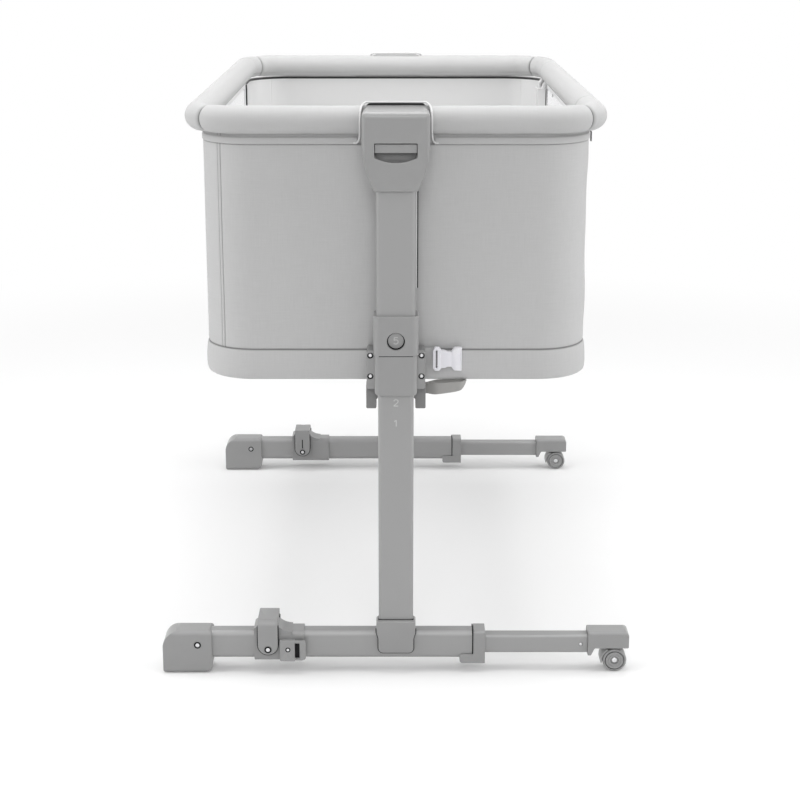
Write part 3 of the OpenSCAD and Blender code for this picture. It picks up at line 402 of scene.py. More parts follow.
def with_marks(start, end, step, marks, reach=(0.6, 1.2, 2.0, 3.2)):
    """Evenly spaced values from start to end, closer together round the marks."""
    closest = 0.25
    values = list(np.linspace(start, end, max(2, int(round((end - start) / step)) + 1)))
    for mark in marks:
        for d in (0, *reach):
            values += [mark - d, mark + d]
    values = np.unique(np.round([v for v in values if start <= v <= end], 3))
    keep = [values[0]]
    for v in values[1:]:
        if v - keep[-1] > closest:
            keep.append(v)
    return np.array(keep)


def round_tube(name, path, radius, sides=12):
    """A closed tube of this radius along a path of points in millimetres."""
    path = np.asarray(path, float)
    ahead = np.gradient(path, axis=0)
    ahead /= np.linalg.norm(ahead, axis=1)[:, None]
    up = np.array([0, 0, 1.0])
    if abs(ahead[0] @ up) > 0.9:
        up = np.array([0, 1.0, 0])
    rings = []
    for t in ahead:
        up = up - (up @ t) * t
        up /= np.linalg.norm(up)
        side = np.cross(t, up)
        a = np.linspace(0, math.tau, sides, endpoint=False)[:, None]
        rings.append(np.cos(a) * up + np.sin(a) * side)
    points = path[:, None, :] + np.array(rings) * radius
    uv = np.stack(np.meshgrid(run_of(path), np.linspace(0, math.tau * radius, sides + 1), indexing="ij"), -1)
    return faces_out(holes_closed(grid_mesh(name, points, uv, closed=True)))


def curve_through(points, step=1.5):
    """Points along a smooth curve through these, about a step apart."""
    p = np.asarray(points, float)
    p = np.vstack([2 * p[0] - p[1], p, 2 * p[-1] - p[-2]])
    out = []
    for a, b, c, d in zip(p, p[1:], p[2:], p[3:]):
        n = max(2, int(np.linalg.norm(c - b) / step))
        for t in np.linspace(0, 1, n, endpoint=False):
            square, cube = 2 * a - 5 * b + 4 * c - d, 3 * b - a - 3 * c + d
            out.append(0.5 * (2 * b + (c - a) * t + square * t**2 + cube * t**3))
    out.append(p[-2])
    return np.array(out)


def run_of(points):
    """How far along a path each of its points is."""
    return np.concatenate([[0], np.cumsum(np.linalg.norm(np.diff(points, axis=0), axis=1))])


# Tools for materials


class Steps:
    """Adds nodes and links to one node tree."""

    def __init__(self, tree):
        self.tree = tree
        tree.nodes.clear()

    def add(self, kind, feeds=None, **settings):
        """A new node: feeds go to its inputs, as links or values, and settings to the node."""
        node = self.tree.nodes.new(kind if kind.startswith("Node") else "ShaderNode" + kind)
        for name, value in settings.items():
            setattr(node, name, value)
        for key, value in (feeds or {}).items():
            if isinstance(value, bpy.types.NodeSocket):
                self.tree.links.new(value, node.inputs[key])
            else:
                node.inputs[key].default_value = value
        return node

    def math(self, operation, a, b=0.0, c=0.0):
        """One sum of two or three values."""
        return self.add("Math", {0: a, 1: b, 2: c}, operation=operation).outputs[0]

    def mix(self, factor, a, b):
        """A colour between a and b."""
        return self.add("Mix", {0: factor, 6: a, 7: b}, data_type="RGBA").outputs[2]

    def scaled(self, vector, scale):
        """The same place in a finer or coarser pattern."""
        return self.add("Mapping", {"Vector": vector, "Scale": scale}).outputs[0]

    def noise(self, vector, scale, detail=2.0):
        """Smooth noise round 0.5."""
        return self.add("TexNoise", {"Vector": vector, "Scale": scale, "Detail": detail}).outputs[0]

    def ramp(self, value, low, high, to_low=0.0, to_high=1.0):
        """A smooth climb of a value between two levels."""
        return self.add(
            "MapRange", {0: value, 1: low, 2: high, 3: to_low, 4: to_high}, interpolation_type="SMOOTHSTEP"
        ).outputs[0]


def effect(name, inputs, outputs, build):
    """A shader node group with named sockets, built once."""
    if name in bpy.data.node_groups:
        return bpy.data.node_groups[name]
    group = bpy.data.node_groups.new(name, "ShaderNodeTree")
    for label, kind, value in inputs:
        socket = group.interface.new_socket(label, in_out="INPUT", socket_type="NodeSocket" + kind)
        if value is not None:
            socket.default_value = value
    for label in outputs:
        group.interface.new_socket(label, in_out="OUTPUT", socket_type="NodeSocketFloat")
    steps = Steps(group)
    source = steps.add("NodeGroupInput").outputs
    target = steps.add("NodeGroupOutput").inputs
    for label, socket in build(steps, source).items():
        group.links.new(socket, target[label])
    return group


def woven_threads():
    """Plain weave with uneven threads: a height, and a shade round 0.5."""

    def build(st, given):
        xyz = st.add("SeparateXYZ", {0: given["Vector"]}).outputs
        u = st.math("DIVIDE", xyz[0], given["Pitch"])
        v = st.math("DIVIDE", xyz[1], given["Pitch"])
        across = st.math("ABSOLUTE", st.math("SINE", st.math("MULTIPLY", u, math.pi)))
        along = st.math("ABSOLUTE", st.math("SINE", st.math("MULTIPLY", v, math.pi)))
        over = st.math("MODULO", st.math("ADD", st.math("FLOOR", u), st.math("FLOOR", v)), 2.0)
        over = st.math("ABSOLUTE", over)
        warp = st.math("MULTIPLY", across, st.math("MULTIPLY_ADD", along, 0.4, 0.6))
        weft = st.math("MULTIPLY", along, st.math("MULTIPLY_ADD", across, 0.4, 0.6))
        under = st.math("SUBTRACT", 1.0, over)
        height = st.math("ADD", st.math("MULTIPLY", warp, over), st.math("MULTIPLY", weft, under))
        lying = st.noise(st.scaled(given["Vector"], (34, 760, 1)), 1.0)
        standing = st.noise(st.scaled(given["Vector"], (760, 34, 1)), 1.0)
        slub = st.math("MULTIPLY", st.math("ADD", lying, standing), 0.5)
        shade = st.math("MULTIPLY_ADD", st.math("SUBTRACT", slub, 0.5), given["Slub"], 0.5)
        # The weave's low places are darkened by their height: painted shade between the threads.
        shade = st.math("ADD", shade, st.math("MULTIPLY", st.math("SUBTRACT", height, 0.55), 0.35))
        height = st.math("ADD", height, slub)
        return {"Height": height, "Shade": shade}

    return effect(
        "Woven Threads",
        [("Vector", "Vector", None), ("Pitch", "Float", 0.001), ("Slub", "Float", 1.0)],
        ["Height", "Shade"],
        build,
    )


def moulded_grain():
    """Spark-eroded grain of a moulding, with broad faint mottling."""

    def build(st, given):
        fine = st.noise(given["Vector"], given["Fineness"], 3.0)
        broad = st.noise(given["Vector"], 22.0, 2.0)
        shade = st.math("ADD", st.math("MULTIPLY", broad, 0.6), st.math("MULTIPLY", fine, 0.4))
        return {"Height": fine, "Shade": shade}

    return effect(
        "Moulded Grain",
        [("Vector", "Vector", None), ("Fineness", "Float", 1500.0)],
        ["Height", "Shade"],
        build,
    )


def edge_highlight_and_shade():
    """Painted light: a patchy highlight on the sharp edges, and painted shade in the hollows."""

    def build(st, given):
        sharp = st.add("NewGeometry").outputs["Pointiness"]
        edge = st.ramp(sharp, 0.52, 0.60)
        patchy = st.noise(given["Vector"], 60.0, 3.0)
        return {
            "Mask": st.math("MULTIPLY", edge, st.ramp(patchy, 0.3, 0.7, 0.35, 1.0)),
            "Hollow Shade": st.ramp(sharp, 0.48, 0.40),
        }

    return effect("Painted Edge Light And Shade", [("Vector", "Vector", None)], ["Mask", "Hollow Shade"], build)


def net_holes():
    """Round holes in a hexagonal net: 1 on the threads and 0 in the holes."""

    def build(st, given):
        xyz = st.add("SeparateXYZ", {0: given["Vector"]}).outputs
        u = st.math("DIVIDE", xyz[0], given["Cell"])
        v = st.math("DIVIDE", xyz[1], given["Cell"])
        # Two grids of holes, the second shifted by half a cell, make the hexagonal net.
        reach = []
        for shift in (0.0, 0.5):
            du = st.math("WRAP", st.math("ADD", u, shift), 0.5, -0.5)
            dv = st.math("WRAP", st.math("ADD", v, shift * 1.732), 0.866, -0.866)
            square = st.math("ADD", st.math("MULTIPLY", du, du), st.math("MULTIPLY", dv, dv))
            reach.append(st.math("SQRT", square))
        near = st.math("MINIMUM", *reach)
        return {"Thread": st.ramp(near, 0.34, 0.40), "Height": st.ramp(near, 0.34, 0.50)}

    return effect(
        "Net Holes", [("Vector", "Vector", None), ("Cell", "Float", 0.003)], ["Thread", "Height"], build
    )


def shades_of(base, spread):
    """A darker and a lighter colour round a base, with alpha."""
    base = np.array(base)
    return (*np.clip(base * (1 - spread), 0, 1), 1.0), (*np.clip(base * (1 + spread), 0, 1), 1.0)


def new_material(name):
    """The material of this name. Its nodes are still to be made where the second value isn't None."""
    material = bpy.data.materials.get(name)
    if material:
        return material, None
    material = bpy.data.materials.new(name)
    material.use_nodes = True
    return material, Steps(material.node_tree)


def principled(st, colour, rough, normal, **more):
    """The surface's shader, joined to the output. more holds its other inputs, with _ for each space."""
    feeds = {name.replace("_", " "): value for name, value in more.items()}
    feeds |= {"Base Color": colour, "Roughness": rough, "Normal": normal}
    st.add("OutputMaterial", {"Surface": st.add("BsdfPrincipled", feeds).outputs[0]})


def bumped(st, height, strength, distance):
    """A normal that follows a fine height, whose depth is the distance in metres."""
    return st.add("Bump", {"Height": height, "Strength": strength, "Distance": distance}).outputs[0]


def cloth(name, base, slub=1.0, pitch=None, spread=0.10, sheen=0.25, relief=0.45):
    """Woven cloth: threads follow the piece's own UV map, and its seam mask paints shade, nearly black, along
    the seams.
    """
    material, st = new_material(name)
    if st:
        vector = st.add("UVMap", uv_map="UVMap").outputs[0]
        weave = st.add("Group", node_tree=woven_threads())
        st.tree.links.new(vector, weave.inputs["Vector"])
        weave.inputs["Pitch"].default_value = pitch or sizes_of().thread
        weave.inputs["Slub"].default_value = slub
        low, high = shades_of(base, spread)
        # Painted shade: the seam mask darkens the colour towards black along seams and creases.
        seam_shade = st.add("Attribute", attribute_name="seam").outputs["Fac"]
        shade = st.mix(weave.outputs["Shade"], low, high)
        shade = st.mix(st.math("MULTIPLY", seam_shade, 0.75), shade, (0.02, 0.02, 0.02, 1.0))
        normal = bumped(st, weave.outputs["Height"], relief, 0.0003)
        principled(st, shade, 0.88, normal, Sheen_Weight=sheen, Sheen_Roughness=0.6)
    return material


def moulding(name, base, rough=0.45, fineness=1500.0, relief=0.12, gloss=0.5, spread=0.04, coat=0.0):
    """Moulded or coated surface with its grain, a painted highlight on its edges and painted shade in its
    hollows.
    """
    material, st = new_material(name)
    if st:
        vector = st.add("TexCoord").outputs["Object"]
        grain = st.add("Group", {"Vector": vector, "Fineness": fineness}, node_tree=moulded_grain())
        edge_light_and_shade = st.add("Group", {"Vector": vector}, node_tree=edge_highlight_and_shade())
        low, high = shades_of(base, spread)
        body = st.mix(grain.outputs["Shade"], low, high)
        # Painted highlight lightens the sharp edges, and painted shade darkens the hollows.
        lit_and_shaded = st.mix(st.math("MULTIPLY", edge_light_and_shade.outputs["Mask"], 0.35), body, shades_of(base, 0.28)[1])
        lit_and_shaded = st.mix(st.math("MULTIPLY", edge_light_and_shade.outputs["Hollow Shade"], 0.5), lit_and_shaded, shades_of(base, 0.8)[0])
        polish = st.math("MULTIPLY_ADD", grain.outputs["Shade"], 0.12, rough - 0.06)
        rough = st.math("SUBTRACT", polish, st.math("MULTIPLY", edge_light_and_shade.outputs["Mask"], 0.06))
        normal = bumped(st, grain.outputs["Height"], relief, 0.0002)
        principled(st, lit_and_shaded, rough, normal, Specular_IOR_Level=gloss, Coat_Weight=coat)
    return material


def net_cloth(name, base):
    """Open net: the holes are see-through."""
    material, st = new_material(name)
    if st:
        vector = st.add("UVMap", uv_map="UVMap").outputs[0]
        net = st.add("Group", {"Vector": vector, "Cell": sizes_of().net_cell}, node_tree=net_holes())
        weave = st.add("Group", {"Vector": vector, "Pitch": 0.0006}, node_tree=woven_threads())
        low, high = shades_of(base, 0.06)
        colour = st.mix(weave.outputs["Shade"], low, high)
        normal = bumped(st, net.outputs["Height"], 0.5, 0.0004)
        principled(st, colour, 0.7, normal, Alpha=net.outputs["Thread"])
    return material


def plated_steel():
    """Zinc-plated steel with faint turning marks."""
    material, st = new_material("plated_steel")
    if st:
        vector = st.add("TexCoord").outputs["Object"]
        fine = st.noise(st.scaled(vector, (900, 900, 5000)), 1.0, 3.0)
        colour = st.mix(fine, (0.62, 0.62, 0.63, 1), (0.80, 0.80, 0.81, 1))
        rough = st.math("MULTIPLY_ADD", fine, 0.2, 0.22)
        principled(st, colour, rough, bumped(st, fine, 0.1, 0.0001), Metallic=1.0)
    return material


def hardboard(name, base):
    """Pressed hardboard with fine fibres."""
    material, st = new_material(name)
    if st:
        vector = st.add("TexCoord").outputs["Object"]
        fibres = st.noise(st.scaled(vector, (260, 1400, 800)), 1.0, 4.0)
        low, high = shades_of(base, 0.3)
        principled(st, st.mix(fibres, low, high), 0.7, bumped(st, fibres, 0.2, 0.0002))
    return material


def ribbed_webbing(name, base, pitch=0.0022):
    """Flat woven strap: ribs across the band, which lies along the UV map's U."""
    material, st = new_material(name)
    if st:
        vector = st.add("UVMap", uv_map="UVMap").outputs[0]
        xyz = st.add("SeparateXYZ", {0: vector}).outputs
        ribs = st.math("ABSOLUTE", st.math("SINE", st.math("MULTIPLY", xyz[0], math.pi / pitch)))
        weave = st.add("Group", {"Vector": vector, "Pitch": 0.0007}, node_tree=woven_threads())
        height = st.math("ADD", ribs, st.math("MULTIPLY", weave.outputs["Height"], 0.4))
        # Rib tops are lighter and the valleys darker: painted light and shade on the ribs.
        low, high = shades_of(base, 0.08)
        colour = st.mix(st.math("MULTIPLY", height, 0.6), low, high)
        principled(st, colour, 0.8, bumped(st, height, 0.3, 0.0003))
    return material


# Each finish: how it is made, which of the crib's colours it takes, and what it sets for itself.
FINISHES = {
    "wall_cloth": (cloth, "wall", {}),
    "pad_cloth": (cloth, "pad", {"slub": 0.7, "spread": 0.07}),
    "pad_thread": (cloth, "pad", {"pitch": 0.0004}),
    "piping_cloth": (cloth, "piping", {"slub": 0.4, "spread": 0.05, "pitch": 0.0005}),
    "lining_cloth": (cloth, "lining", {"slub": 0.4, "spread": 0.04, "relief": 0.25}),
    "quilt_cloth": (cloth, "quilt", {"slub": 0.3, "spread": 0.04, "pitch": 0.0012}),
    "zip_tape": (cloth, "zip", {"slub": 0.5, "pitch": 0.0006}),
    "net_tape": (cloth, "net", {"pitch": 0.0007, "slub": 0.4}),
    "net_white": (net_cloth, "net", {}),
    "strap_webbing_cloth": (ribbed_webbing, "webbing", {"pitch": 0.0016}),
    "grey_moulding": (moulding, "moulded", {"rough": 0.34}),
    # Painted shade: the darker plastic for set-back parts.
    "shaded_grey_moulding": (moulding, "shade", {"rough": 0.4}),
    "white_moulding": (moulding, "guide", {"rough": 0.4}),
    "coated_tube": (moulding, "coated", {"rough": 0.36, "fineness": 900.0, "relief": 0.08}),
    # Painted shadow: near-black pieces in gaps, slots and round screw heads.
    "shadow_black": (moulding, "zip", {"rough": 0.6, "relief": 0.05, "gloss": 0.1}),
    "zip_teeth": (moulding, "zip", {"rough": 0.3, "relief": 0.05}),
    "number_print": (moulding, "ink", {"rough": 0.55, "relief": 0.05}),
    "buckle_plastic": (moulding, "buckle", {"rough": 0.32, "relief": 0.04, "spread": 0.03}),
    "wheel_plastic": (moulding, "moulded", {"rough": 0.5, "fineness": 1100.0}),
    "hardboard": (hardboard, "board", {}),
}


def made_of(name):
    """The material of this name, which is made at its first use."""
    make, base, settings = FINISHES[name]
    return make(name, getattr(finish_of(), base), **settings)


# Operators, one for each group of pieces


# The camera, in front of the near end: its place in metres, its tilt down in degrees, its lens and shift.
CAMERA_PLACE = (0, -2.637, 1.069)
CAMERA_TILT = 14.462
CAMERA_LENS = 72.82
CAMERA_SHIFT = (0.0051, -0.08)
# Each softbox: its place and its width in metres, and its power in watts. All point at one place.
SOFTBOXES = {
    "left_softbox": ((-2.6, -0.6, 1.9), 2.2, 40),
    "right_softbox": ((2.6, -0.6, 1.9), 2.2, 40),
    "top_softbox": ((0, 0.0, 3.2), 1.8, 53),
    "front_softbox": ((0, -3.6, 2.4), 1.6, 32),
}
SOFTBOX_AIM = (0, 0, 0.5)
WORLD_LIGHT = 0.42
WHITE = (1, 1, 1, 1)
FLOOR_GREY = (0.82, 0.82, 0.82, 1)
FLOOR_LIFT = 0.10
FLOOR_RADIUS = 6
# How far from the middle, in metres, the floor starts to fade to white, and where it is white.
FLOOR_FADE = (0.9, 2.4)


def seen_directly(st):
    """1 for what the camera sees, itself or in metal or glass, and 0 for the light on the object."""
    rays = st.add("LightPath").outputs
    direct = st.math("MAXIMUM", rays["Is Camera Ray"], rays["Is Glossy Ray"])
    return st.math("MAXIMUM", direct, rays["Is Transmission Ray"])


class CRIB_OT_stage(bpy.types.Operator):
    """Sets the floor, the soft light and the camera"""

    bl_idname = "crib.stage"
    bl_label = "Stage"

    def execute(self, context):
        context.scene.view_settings.view_transform = "Standard"
        self.world(context.scene)
        self.floor(context)
        self.softboxes()
        self.camera(context.scene)
        return {"FINISHED"}

    def world(self, scene):
        """White where it is seen, and dimmer as a light."""
        world = bpy.data.worlds.new("studio")
        scene.world = world
        world.use_nodes = True
        st = Steps(world.node_tree)
        direct = seen_directly(st)
        lamp = st.add("Background", {"Color": WHITE, "Strength": WORLD_LIGHT})
        white = st.add("Background", {"Color": WHITE, "Strength": 1.0})
        shown = st.add("MixShader", {0: direct, 1: lamp.outputs[0], 2: white.outputs[0]})
        st.add("OutputWorld", {"Surface": shown.outputs[0]})

    def floor(self, context):
        """A pale floor that takes the crib's shadow and fades to white."""
        bpy.ops.mesh.primitive_circle_add(
            vertices=96, radius=FLOOR_RADIUS, fill_type="NGON", location=(0, 0, 0)
        )
        floor = context.object
        floor.name = "studio_floor"
        material = bpy.data.materials.new("studio_floor")
        material.use_nodes = True
        st = Steps(material.node_tree)
        direct = seen_directly(st)
        place = st.add("TexCoord").outputs["Object"]
        far = st.add("VectorMath", {0: place}, operation="LENGTH").outputs["Value"]
        fade = st.ramp(far, *FLOOR_FADE)
        plain = st.add("BsdfDiffuse", {"Color": FLOOR_GREY})
        lift = st.add("Emission", {"Color": WHITE, "Strength": FLOOR_LIFT})
        lit = st.add("AddShader", {0: plain.outputs[0], 1: lift.outputs[0]})
        white = st.add("Emission", {"Color": WHITE, "Strength": 1.0})
        seen = st.add("MixShader", {0: fade, 1: lit.outputs[0], 2: white.outputs[0]})
        both = st.add("MixShader", {0: direct, 1: plain.outputs[0], 2: seen.outputs[0]})
        st.add("OutputMaterial", {"Surface": both.outputs[0]})
        floor.data.materials.append(material)

    def softboxes(self):
        """The square lamps."""
        for name, (place, size, power) in SOFTBOXES.items():
            data = bpy.data.lights.new(name, "AREA")
            data.shape = "SQUARE"
            data.size = size
            data.energy = power
            lamp = linked(name, data)
            lamp.location = place
            aim = Vector(SOFTBOX_AIM) - Vector(place)
            lamp.rotation_euler = aim.to_track_quat("-Z", "Y").to_euler()

    def camera(self, scene):
        """The camera of the main view."""
        data = bpy.data.cameras.new("camera")
        data.lens = CAMERA_LENS
        data.shift_x, data.shift_y = CAMERA_SHIFT
        camera = linked("camera", data)
        camera.location = CAMERA_PLACE
        camera.rotation_euler = (math.radians(90 - CAMERA_TILT), 0, 0)
        scene.camera = camera


# Ways along the rail from the near end's middle: a quarter of it, a corner's start, the seam in a corner's
# middle, and the seam where the section that drops begins.
RAIL_QUARTER = quarter_of(RAIL_X, RAIL_Y, RAIL_R)
RAIL_ARC_START = RAIL_X - RAIL_R
SEAM_S = RAIL_ARC_START + math.pi * RAIL_R / 4
DROP_S = RAIL_ARC_START + math.pi * RAIL_R / 2 + (RAIL_Y - RAIL_R - DROP_Y)
# Where the closing seam is, round the pad from its outer side over its top.
CLOSING_SEAM_DEG = 218
CLOSING_SEAM = math.radians(CLOSING_SEAM_DEG)


def corner_bend(along):
    """1 in the rail's corners and 0 on its straights."""
    bend = np.zeros_like(along)
    for corner in range(4):
        mid = (corner // 2) * 2 * RAIL_QUARTER + (SEAM_S if corner % 2 == 0 else -SEAM_S)
        for wrap in (-4 * RAIL_QUARTER, 0, 4 * RAIL_QUARTER):
            bend = np.maximum(bend, 1 - smoothstep(36, 62, abs(along - mid - wrap)))
    return bend


def pad_tube(name, s0, s1, notch=None):
    """The foam pad on the rail from s0 to s1, flattened behind the hub at the notch.

    Seams pull its ends in, and a closing seam runs along its inner side.
    """
    size = sizes_of()
    full, depth = size.pad_radius / MM, size.seam_depth / MM
    gap = 0.15
    hub_edge = HUB_HALF + 1.0
    middles = [notch - hub_edge, notch + hub_edge] if notch is not None else []
    along = with_marks(s0 + gap, s1 - gap, 5.0, [s0 + gap, s1 - gap, *middles])
    first, last = CLOSING_SEAM_DEG - 360, CLOSING_SEAM_DEG
    angles = with_marks(first, last, 8, [first + 0.01, last - 0.01], reach=(1.5, 3.0, 5.0, 8.0))
    angles = np.radians(angles)[:-1]
    centre, out = loop_at(along, RAIL_X, RAIL_Y, RAIL_R)
    s, th = np.meshgrid(along, angles, indexing="ij")
    radius = np.full_like(s, full)
    seam_shade = np.zeros_like(s)
    for end in (s0, s1):
        radius -= depth * np.exp(-(((s - end) / 1.9) ** 2)) + 0.6 * np.exp(-(((s - end) / 10) ** 2))
        # The seam mask paints shade into each pulled-in end.
        seam_shade += np.exp(-(((s - end) / 1.1) ** 2))
    turned = np.minimum(abs(th - CLOSING_SEAM), abs(th + math.tau - CLOSING_SEAM))
    radius -= 0.9 * np.exp(-((turned / 0.07) ** 2))
    # Small puckers on the inner side of the corners, and soft unevenness all over.
    inner = np.clip(-np.cos(th), 0, 1) ** 1.5
    puckers = 0.5 + 0.5 * np.sin(s / 1.9 + 1.4 * np.sin(s / 13))
    radius -= 0.55 * corner_bend(along)[:, None] * inner * puckers
    radius += 0.22 * ripple(s / 23, th * 1.3, 1.0) + 0.10 * ripple(s / 7, th * 3, 2.0)
    offset, height = radius * np.cos(th), radius * np.sin(th)
    if notch is not None:
        away = abs(s - notch)
        front = smoothstep(-0.4, 0.9, np.cos(th))
        pull = 1.6 * np.exp(-(((away - hub_edge) / 3.0) ** 2)) * (away > hub_edge - 0.1)
        offset, height = offset * (1 - pull * front / full), height * (1 - pull * front / full)
        face = RAIL_Y + HUB_BACK + 0.6
        offset = np.where(away < hub_edge - 0.1, np.minimum(offset, -face), offset)
    points = ring_points(centre, out, offset, RAIL_Z + height)
    round_uv = np.append(angles, angles[0] + math.tau) * full
    uv = np.stack(np.meshgrid(along, round_uv, indexing="ij"), -1)
    return smoothed(faces_out(holes_closed(grid_mesh(name, points, uv, closed=True, seam=seam_shade))), 50)


# One stitch: how far along it each of its rings is, and the ring's radius.
STITCH = ((-2.0, 0.12), (-1.4, 0.42), (0, 0.5), (1.4, 0.42), (2.0, 0.12))
STITCH_SIDES = 5


def stitch_row(name, s0, s1, skip=None):
    """Threads of the closing seam, one short slanted stitch after another."""
    size = sizes_of()
    at = np.arange(s0 + 6, s1 - 6, size.stitch / MM)
    if skip is not None:
        at = at[abs(at - skip) > HUB_HALF + 4]
    centre, out = loop_at(at, RAIL_X, RAIL_Y, RAIL_R)
    points, faces = [], []
    reach = size.pad_radius / MM - 0.45
    sides = STITCH_SIDES
    ring = np.linspace(0, math.tau, sides, endpoint=False)
    for c, n in zip(centre, out):
        ahead = np.array([-n[1], n[0], 0])
        flat = n * math.cos(CLOSING_SEAM)
        normal = np.array([flat[0], flat[1], math.sin(CLOSING_SEAM)])
        tangent = np.cross(normal, ahead)
        middle = np.array([c[0], c[1], RAIL_Z]) + normal * reach
        run = ahead * 0.55 + tangent * 0.85
        run /= np.linalg.norm(run)
        side = np.cross(run, normal)
        base = len(points)
        for t, r in STITCH:
            lift = 0.35 * (1 - (t / 2.0) ** 2)
            for a in ring:
                points.append(middle + run * t + normal * (lift + r * math.sin(a)) + side * r * math.cos(a))
        rings = [range(base + i * sides, base + (i + 1) * sides) for i in range(len(STITCH))]
        for here, there in zip(rings, rings[1:]):
            for j in range(sides):
                k = (j + 1) % sides
                faces.append((here[j], here[k], there[k], there[j]))
        faces += [tuple(rings[0])[::-1], tuple(rings[-1])]
    return faces_out(new_mesh(name, points, faces, np.zeros((sum(len(f) for f in faces), 2))))


class CRIB_OT_rail_pads(bpy.types.Operator):
    """Makes the padded rail: six sewn tubes with their seams and stitches"""

    bl_idname = "crib.rail_pads"
    bl_label = "Rail Pads"

    def execute(self, context):
        # Each pad: its seams along the rail, the hub's place in it, its body and its node.
        turn = 2 * RAIL_QUARTER
        pads = (
            ("rail_pad_near_cover", -SEAM_S, SEAM_S, 0.0, "basket", "rail_pad_near"),
            ("rail_pad_far_cover", turn - SEAM_S, turn + SEAM_S, turn, "basket", "rail_pad_far"),
            ("rail_pad_left_cover", turn + SEAM_S, 2 * turn - SEAM_S, None, "basket", "rail_pad_left"),
            ("corner_pad_near_cover", SEAM_S, DROP_S, None, "basket", "rail_pad_corners"),
            ("corner_pad_far_cover", turn - DROP_S, turn - SEAM_S, None, "basket", "rail_pad_corners"),
            ("drop_pad_cover", DROP_S + 1, turn - DROP_S - 1, None, "drop_side", "drop_rail_pad"),
        )
        for name, s0, s1, notch, body, node in pads:
            pad = pad_tube(name, s0, s1, notch)
            dressed(pad, made_of("pad_cloth"), body, [node])
            thread = smoothed(stitch_row(name.replace("cover", "stitches"), s0, s1, notch))
            dressed(thread, made_of("pad_thread"), body)
        return {"FINISHED"}


# Ways along the walls from the near end's middle: a corner's start, the wall's side edge and its corner seam.
WALL_A = CLOTH_X - CLOTH_R
WALL_S = WALL_A + math.pi * CLOTH_R / 2 + (CLOTH_Y - CLOTH_R - DROP_Y) - 0.2
CORNER_SEAM = WALL_A + CLOTH_R * math.radians(38)
# The two rows of stitches stand this far on either side of the corner seam.
SEAM_ROWS = (-2.6, 2.6)


def ring_wall(name, along, profile, end, bulge=None, seam=None):
    """A sheet round one end, whose profile holds (offset, z) pairs.

    bulge and seam give its further offset and its mask of painted seam shade at (s, z).
    """
    centre, out = loop_at(along, CLOTH_X, CLOTH_Y, CLOTH_R)
    profile = np.asarray(profile, float)
    s, off = np.meshgrid(along, profile[:, 0], indexing="ij")
    z = np.broadcast_to(profile[:, 1], s.shape)
    if bulge is not None:
        off = off + bulge(s, z)
    points = ring_points(centre, out, off, z) * (1, -end, 1)
    uv = np.stack(np.meshgrid(along, run_of(profile), indexing="ij"), -1)
    obj = grid_mesh(name, points, uv, seam=seam(s, z) if seam else None)
    if end > 0:
        obj.data.flip_normals()
    return obj


def wall_seam_shade(s, z):
    """Painted shade: a mask that darkens the two rows of the corner seam, the line over the hem and the line
    under the binding.
    """
    rows = sum(np.exp(-(((s + CORNER_SEAM + row) / 0.75) ** 2)) for row in SEAM_ROWS)
    hem = 1 - smoothstep(HEM_TOP + 1.2, HEM_TOP + 2.6, z)
    binding = np.exp(-(((z - CLOTH_TOP + 9.6) / 1.0) ** 2))
    return 0.8 * rows + hem + 0.8 * binding


def wall_bulge(end):
    """How the outer cloth stands off its plane: soft waves, and the two rows of the corner seam."""

    def bulge(s, z):
        centre, _ = loop_at(s, CLOTH_X, CLOTH_Y, CLOTH_R)
        x = centre[..., 0]
        level = smoothstep(HEM_TOP, HEM_TOP + 50, z) * (1 - smoothstep(CLOTH_TOP - 60, CLOTH_TOP - 8, z))
        clear = smoothstep(52, 110, abs(x))
        edge = 1 - smoothstep(WALL_S - 14, WALL_S, abs(s))
        soft = 0.5 * ripple(s / 60, z / 90, 3.0 + end) + 0.18 * ripple(s / 21, z / 120, 5.0 + end)
        side = smoothstep(200, 268, x) * (0.9 * np.sin(z / 38) + 0.5 * np.sin(z / 17 + 1))
        waves = level * clear * edge * (soft + side - 0.3)
        seam = 0.4 * np.exp(-(((s + CORNER_SEAM) / 2.0) ** 4))
        for row in SEAM_ROWS:
            seam = seam - np.exp(-(((s + CORNER_SEAM + row) / 0.8) ** 2))
        return waves + seam

    return bulge


